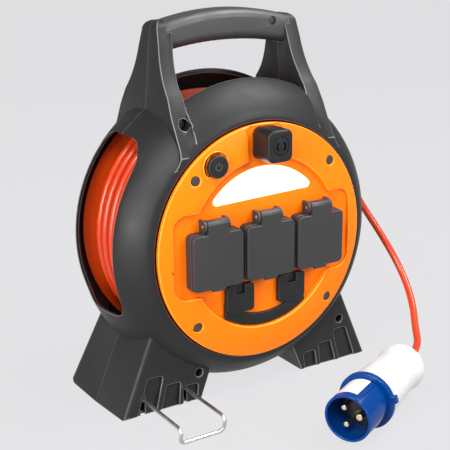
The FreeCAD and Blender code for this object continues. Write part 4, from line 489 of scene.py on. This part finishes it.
def make_winding():
    """Outer turns over two packed lower layers."""
    outer = wound_tube("wound_outer", WINDING_RADIUS, WINDING_FRONT, WINDING_PITCH, WINDING_TURNS,
                       start_deg=0.0, wander=0.0009, seed=3)
    finish_piece(outer, "cable_winding", ["cable_winding"])
    lower = wound_tube("wound_lower", WINDING_RADIUS - LAYER_STEP, LOWER_FRONT, LOWER_PITCH, LOWER_TURNS,
                       start_deg=40.0, wander=0.0004, seed=5)
    finish_piece(lower, "winding_core", ["winding_core"])
    inner = wound_tube("wound_inner", WINDING_RADIUS - LAYER_STEP * 2, INNER_FRONT, LOWER_PITCH, INNER_TURNS,
                       start_deg=190.0, wander=0.0002, seed=7)
    finish_piece(inner, "winding_core")


# Small marks and inlays

def ribbon(name, rows, material, body):
    """Thin strip through rows of points, each row across the strip."""
    mesh = bmesh.new()
    grid = [[mesh.verts.new(point) for point in row] for row in rows]
    for first, second in zip(grid, grid[1:]):
        for k in range(len(first) - 1):
            mesh.faces.new((first[k], first[k + 1], second[k + 1], second[k]))
    piece = mesh_piece(name, mesh)
    piece.data.materials.append(material)
    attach(piece, body)
    return piece


def face_arc(name, centre, depth, radius, width, start_deg, end_deg, material, body, steps=24):
    """Arc on the front of a piece: centre across and above the axis, angles from +X towards +Z."""
    rows = []
    for step in range(steps + 1):
        angle = math.radians(start_deg + (end_deg - start_deg) * step / steps)
        rows.append([(centre[0] + reach * math.cos(angle), FACE_Y + depth,
                      AXIS.z + centre[1] + reach * math.sin(angle))
                     for reach in (radius - width / 2, radius + width / 2)])
    return ribbon(name, rows, material, body)


PRINT_LIFT = 0.00006  # how far a mark lies in front of its surface
LINE = 0.0008  # width of the power mark's lines
RING_RADIUS = 0.0033
BAR_ENDS = (0.0006, 0.0044)
GROOVE_RADIUS = 0.0044
GROOVE_WIDTH = 0.0016
RIM_RADIUS = 0.0083
RIM_WIDTH = 0.0006
LABEL_LIFT = 0.00008
LABEL_RUN = (0.008, 0.018, 0.028, 0.0372)  # along the plug, from its front
LABEL_DEGREES = range(76, 141, 4)


def make_marks():
    """Power mark on the button, black strips of painted shade for the grooves and rim of the knob's cap, and
    the bare label on the plug.
    """
    depth = BUTTON_FRONT - PRINT_LIFT
    face_arc("power_ring", BUTTON, depth, RING_RADIUS, LINE, 125.0, 415.0, MARK_GREY, "button")
    bar = [[(BUTTON[0] + side, FACE_Y + depth, AXIS.z + BUTTON[1] + up) for side in (-LINE / 2, LINE / 2)]
           for up in BAR_ENDS]
    ribbon("power_bar", bar, MARK_GREY, "button")
    depth = KNOB_FRONT - PRINT_LIFT
    # Black strips of painted shade for the cap's two grooves and its rim.
    for name, start, end in (("cap_groove_shade_left", 125.0, 235.0), ("cap_groove_shade_right", -55.0, 55.0)):
        face_arc(name, KNOB, depth, GROOVE_RADIUS, GROOVE_WIDTH, start, end, GROOVE_SHADE, "knob")
    face_arc("cap_rim_shade", KNOB, depth, RIM_RADIUS, RIM_WIDTH, 0.0, 360.0, GROOVE_SHADE, "knob",
             48)
    rows = [[tuple(plug_point(along, SHROUD_RADIUS + LABEL_LIFT, degrees)) for along in LABEL_RUN]
            for degrees in LABEL_DEGREES]
    return ribbon("bare_label", rows, LABEL_WHITE, "root")


# Floor and light

FLOOR_SIZE = 12.0
FLOOR_DROP = 0.0002
FLOOR_DARK = (0.030, 0.030, 0.031, 1.0)
FLOOR_LIGHT = (0.034, 0.034, 0.035, 1.0)
FLOOR_GLOW = (0.98, 0.98, 1.0, 1.0)
FLOOR_STRENGTH = 0.74
WORLD_TINT = (0.90, 0.90, 0.91, 1.0)
WORLD_STRENGTH = 0.30
MIDDLE = (0.0, 0.0, 0.17)  # what the lights point at

# Name, place, width and height, watts
SOFT_LIGHTS = (
    ("left", (-2.1, -0.75, 0.35), (0.9, 1.2), 62.0),
    ("key", (-0.95, -0.85, 1.50), (0.9, 0.7), 30.0),
    ("top", (0.90, -0.50, 1.80), (1.0, 0.9), 40.0),
    ("front", (0.85, -1.60, 0.95), (0.7, 0.6), 20.0))


def make_stage():
    bpy.ops.mesh.primitive_grid_add(x_subdivisions=2, y_subdivisions=2, size=FLOOR_SIZE,
                                    location=(0, 0, -FLOOR_DROP))
    floor = bpy.context.active_object
    floor.name = "floor"
    material, tree, shader = new_material("floor_paper")
    speck = add_noise(tree, 30.0, 2.0, 1.0)
    tint = add_ramp(tree, speck.outputs["Fac"], 0.3, 0.7, FLOOR_DARK, FLOOR_LIGHT)
    tree.links.new(tint.outputs["Color"], shader.inputs["Base Color"])
    shader.inputs["Roughness"].default_value = 1.0
    shader.inputs["Specular IOR Level"].default_value = 0.0
    shader.inputs["Emission Color"].default_value = FLOOR_GLOW
    shader.inputs["Emission Strength"].default_value = FLOOR_STRENGTH
    floor.data.materials.append(material)


def soft_light(name, place, size, power):
    data = bpy.data.lights.new(name, "AREA")
    data.shape = "RECTANGLE"
    data.size = size[0]
    data.size_y = size[1]
    data.energy = power
    lamp = bpy.data.objects.new(name, data)
    bpy.context.scene.collection.objects.link(lamp)
    lamp.location = place
    lamp.rotation_euler = (Vector(MIDDLE) - Vector(place)).to_track_quat("-Z", "Y").to_euler()


def make_lights():
    world = bpy.data.worlds.new("studio")
    world.use_nodes = True
    world.node_tree.nodes["Background"].inputs["Color"].default_value = WORLD_TINT
    world.node_tree.nodes["Background"].inputs["Strength"].default_value = WORLD_STRENGTH
    bpy.context.scene.world = world
    for light in SOFT_LIGHTS:
        soft_light(*light)


make_camera()
free_cord = make_free_cord()
make_winding()
SPECIAL = {"free_cord", "cable_winding", "winding_core"}
PIECES = {name: dress(name) for name in sorted(NODES) if name not in SPECIAL}
label = make_marks()
make_stage()
make_lights()
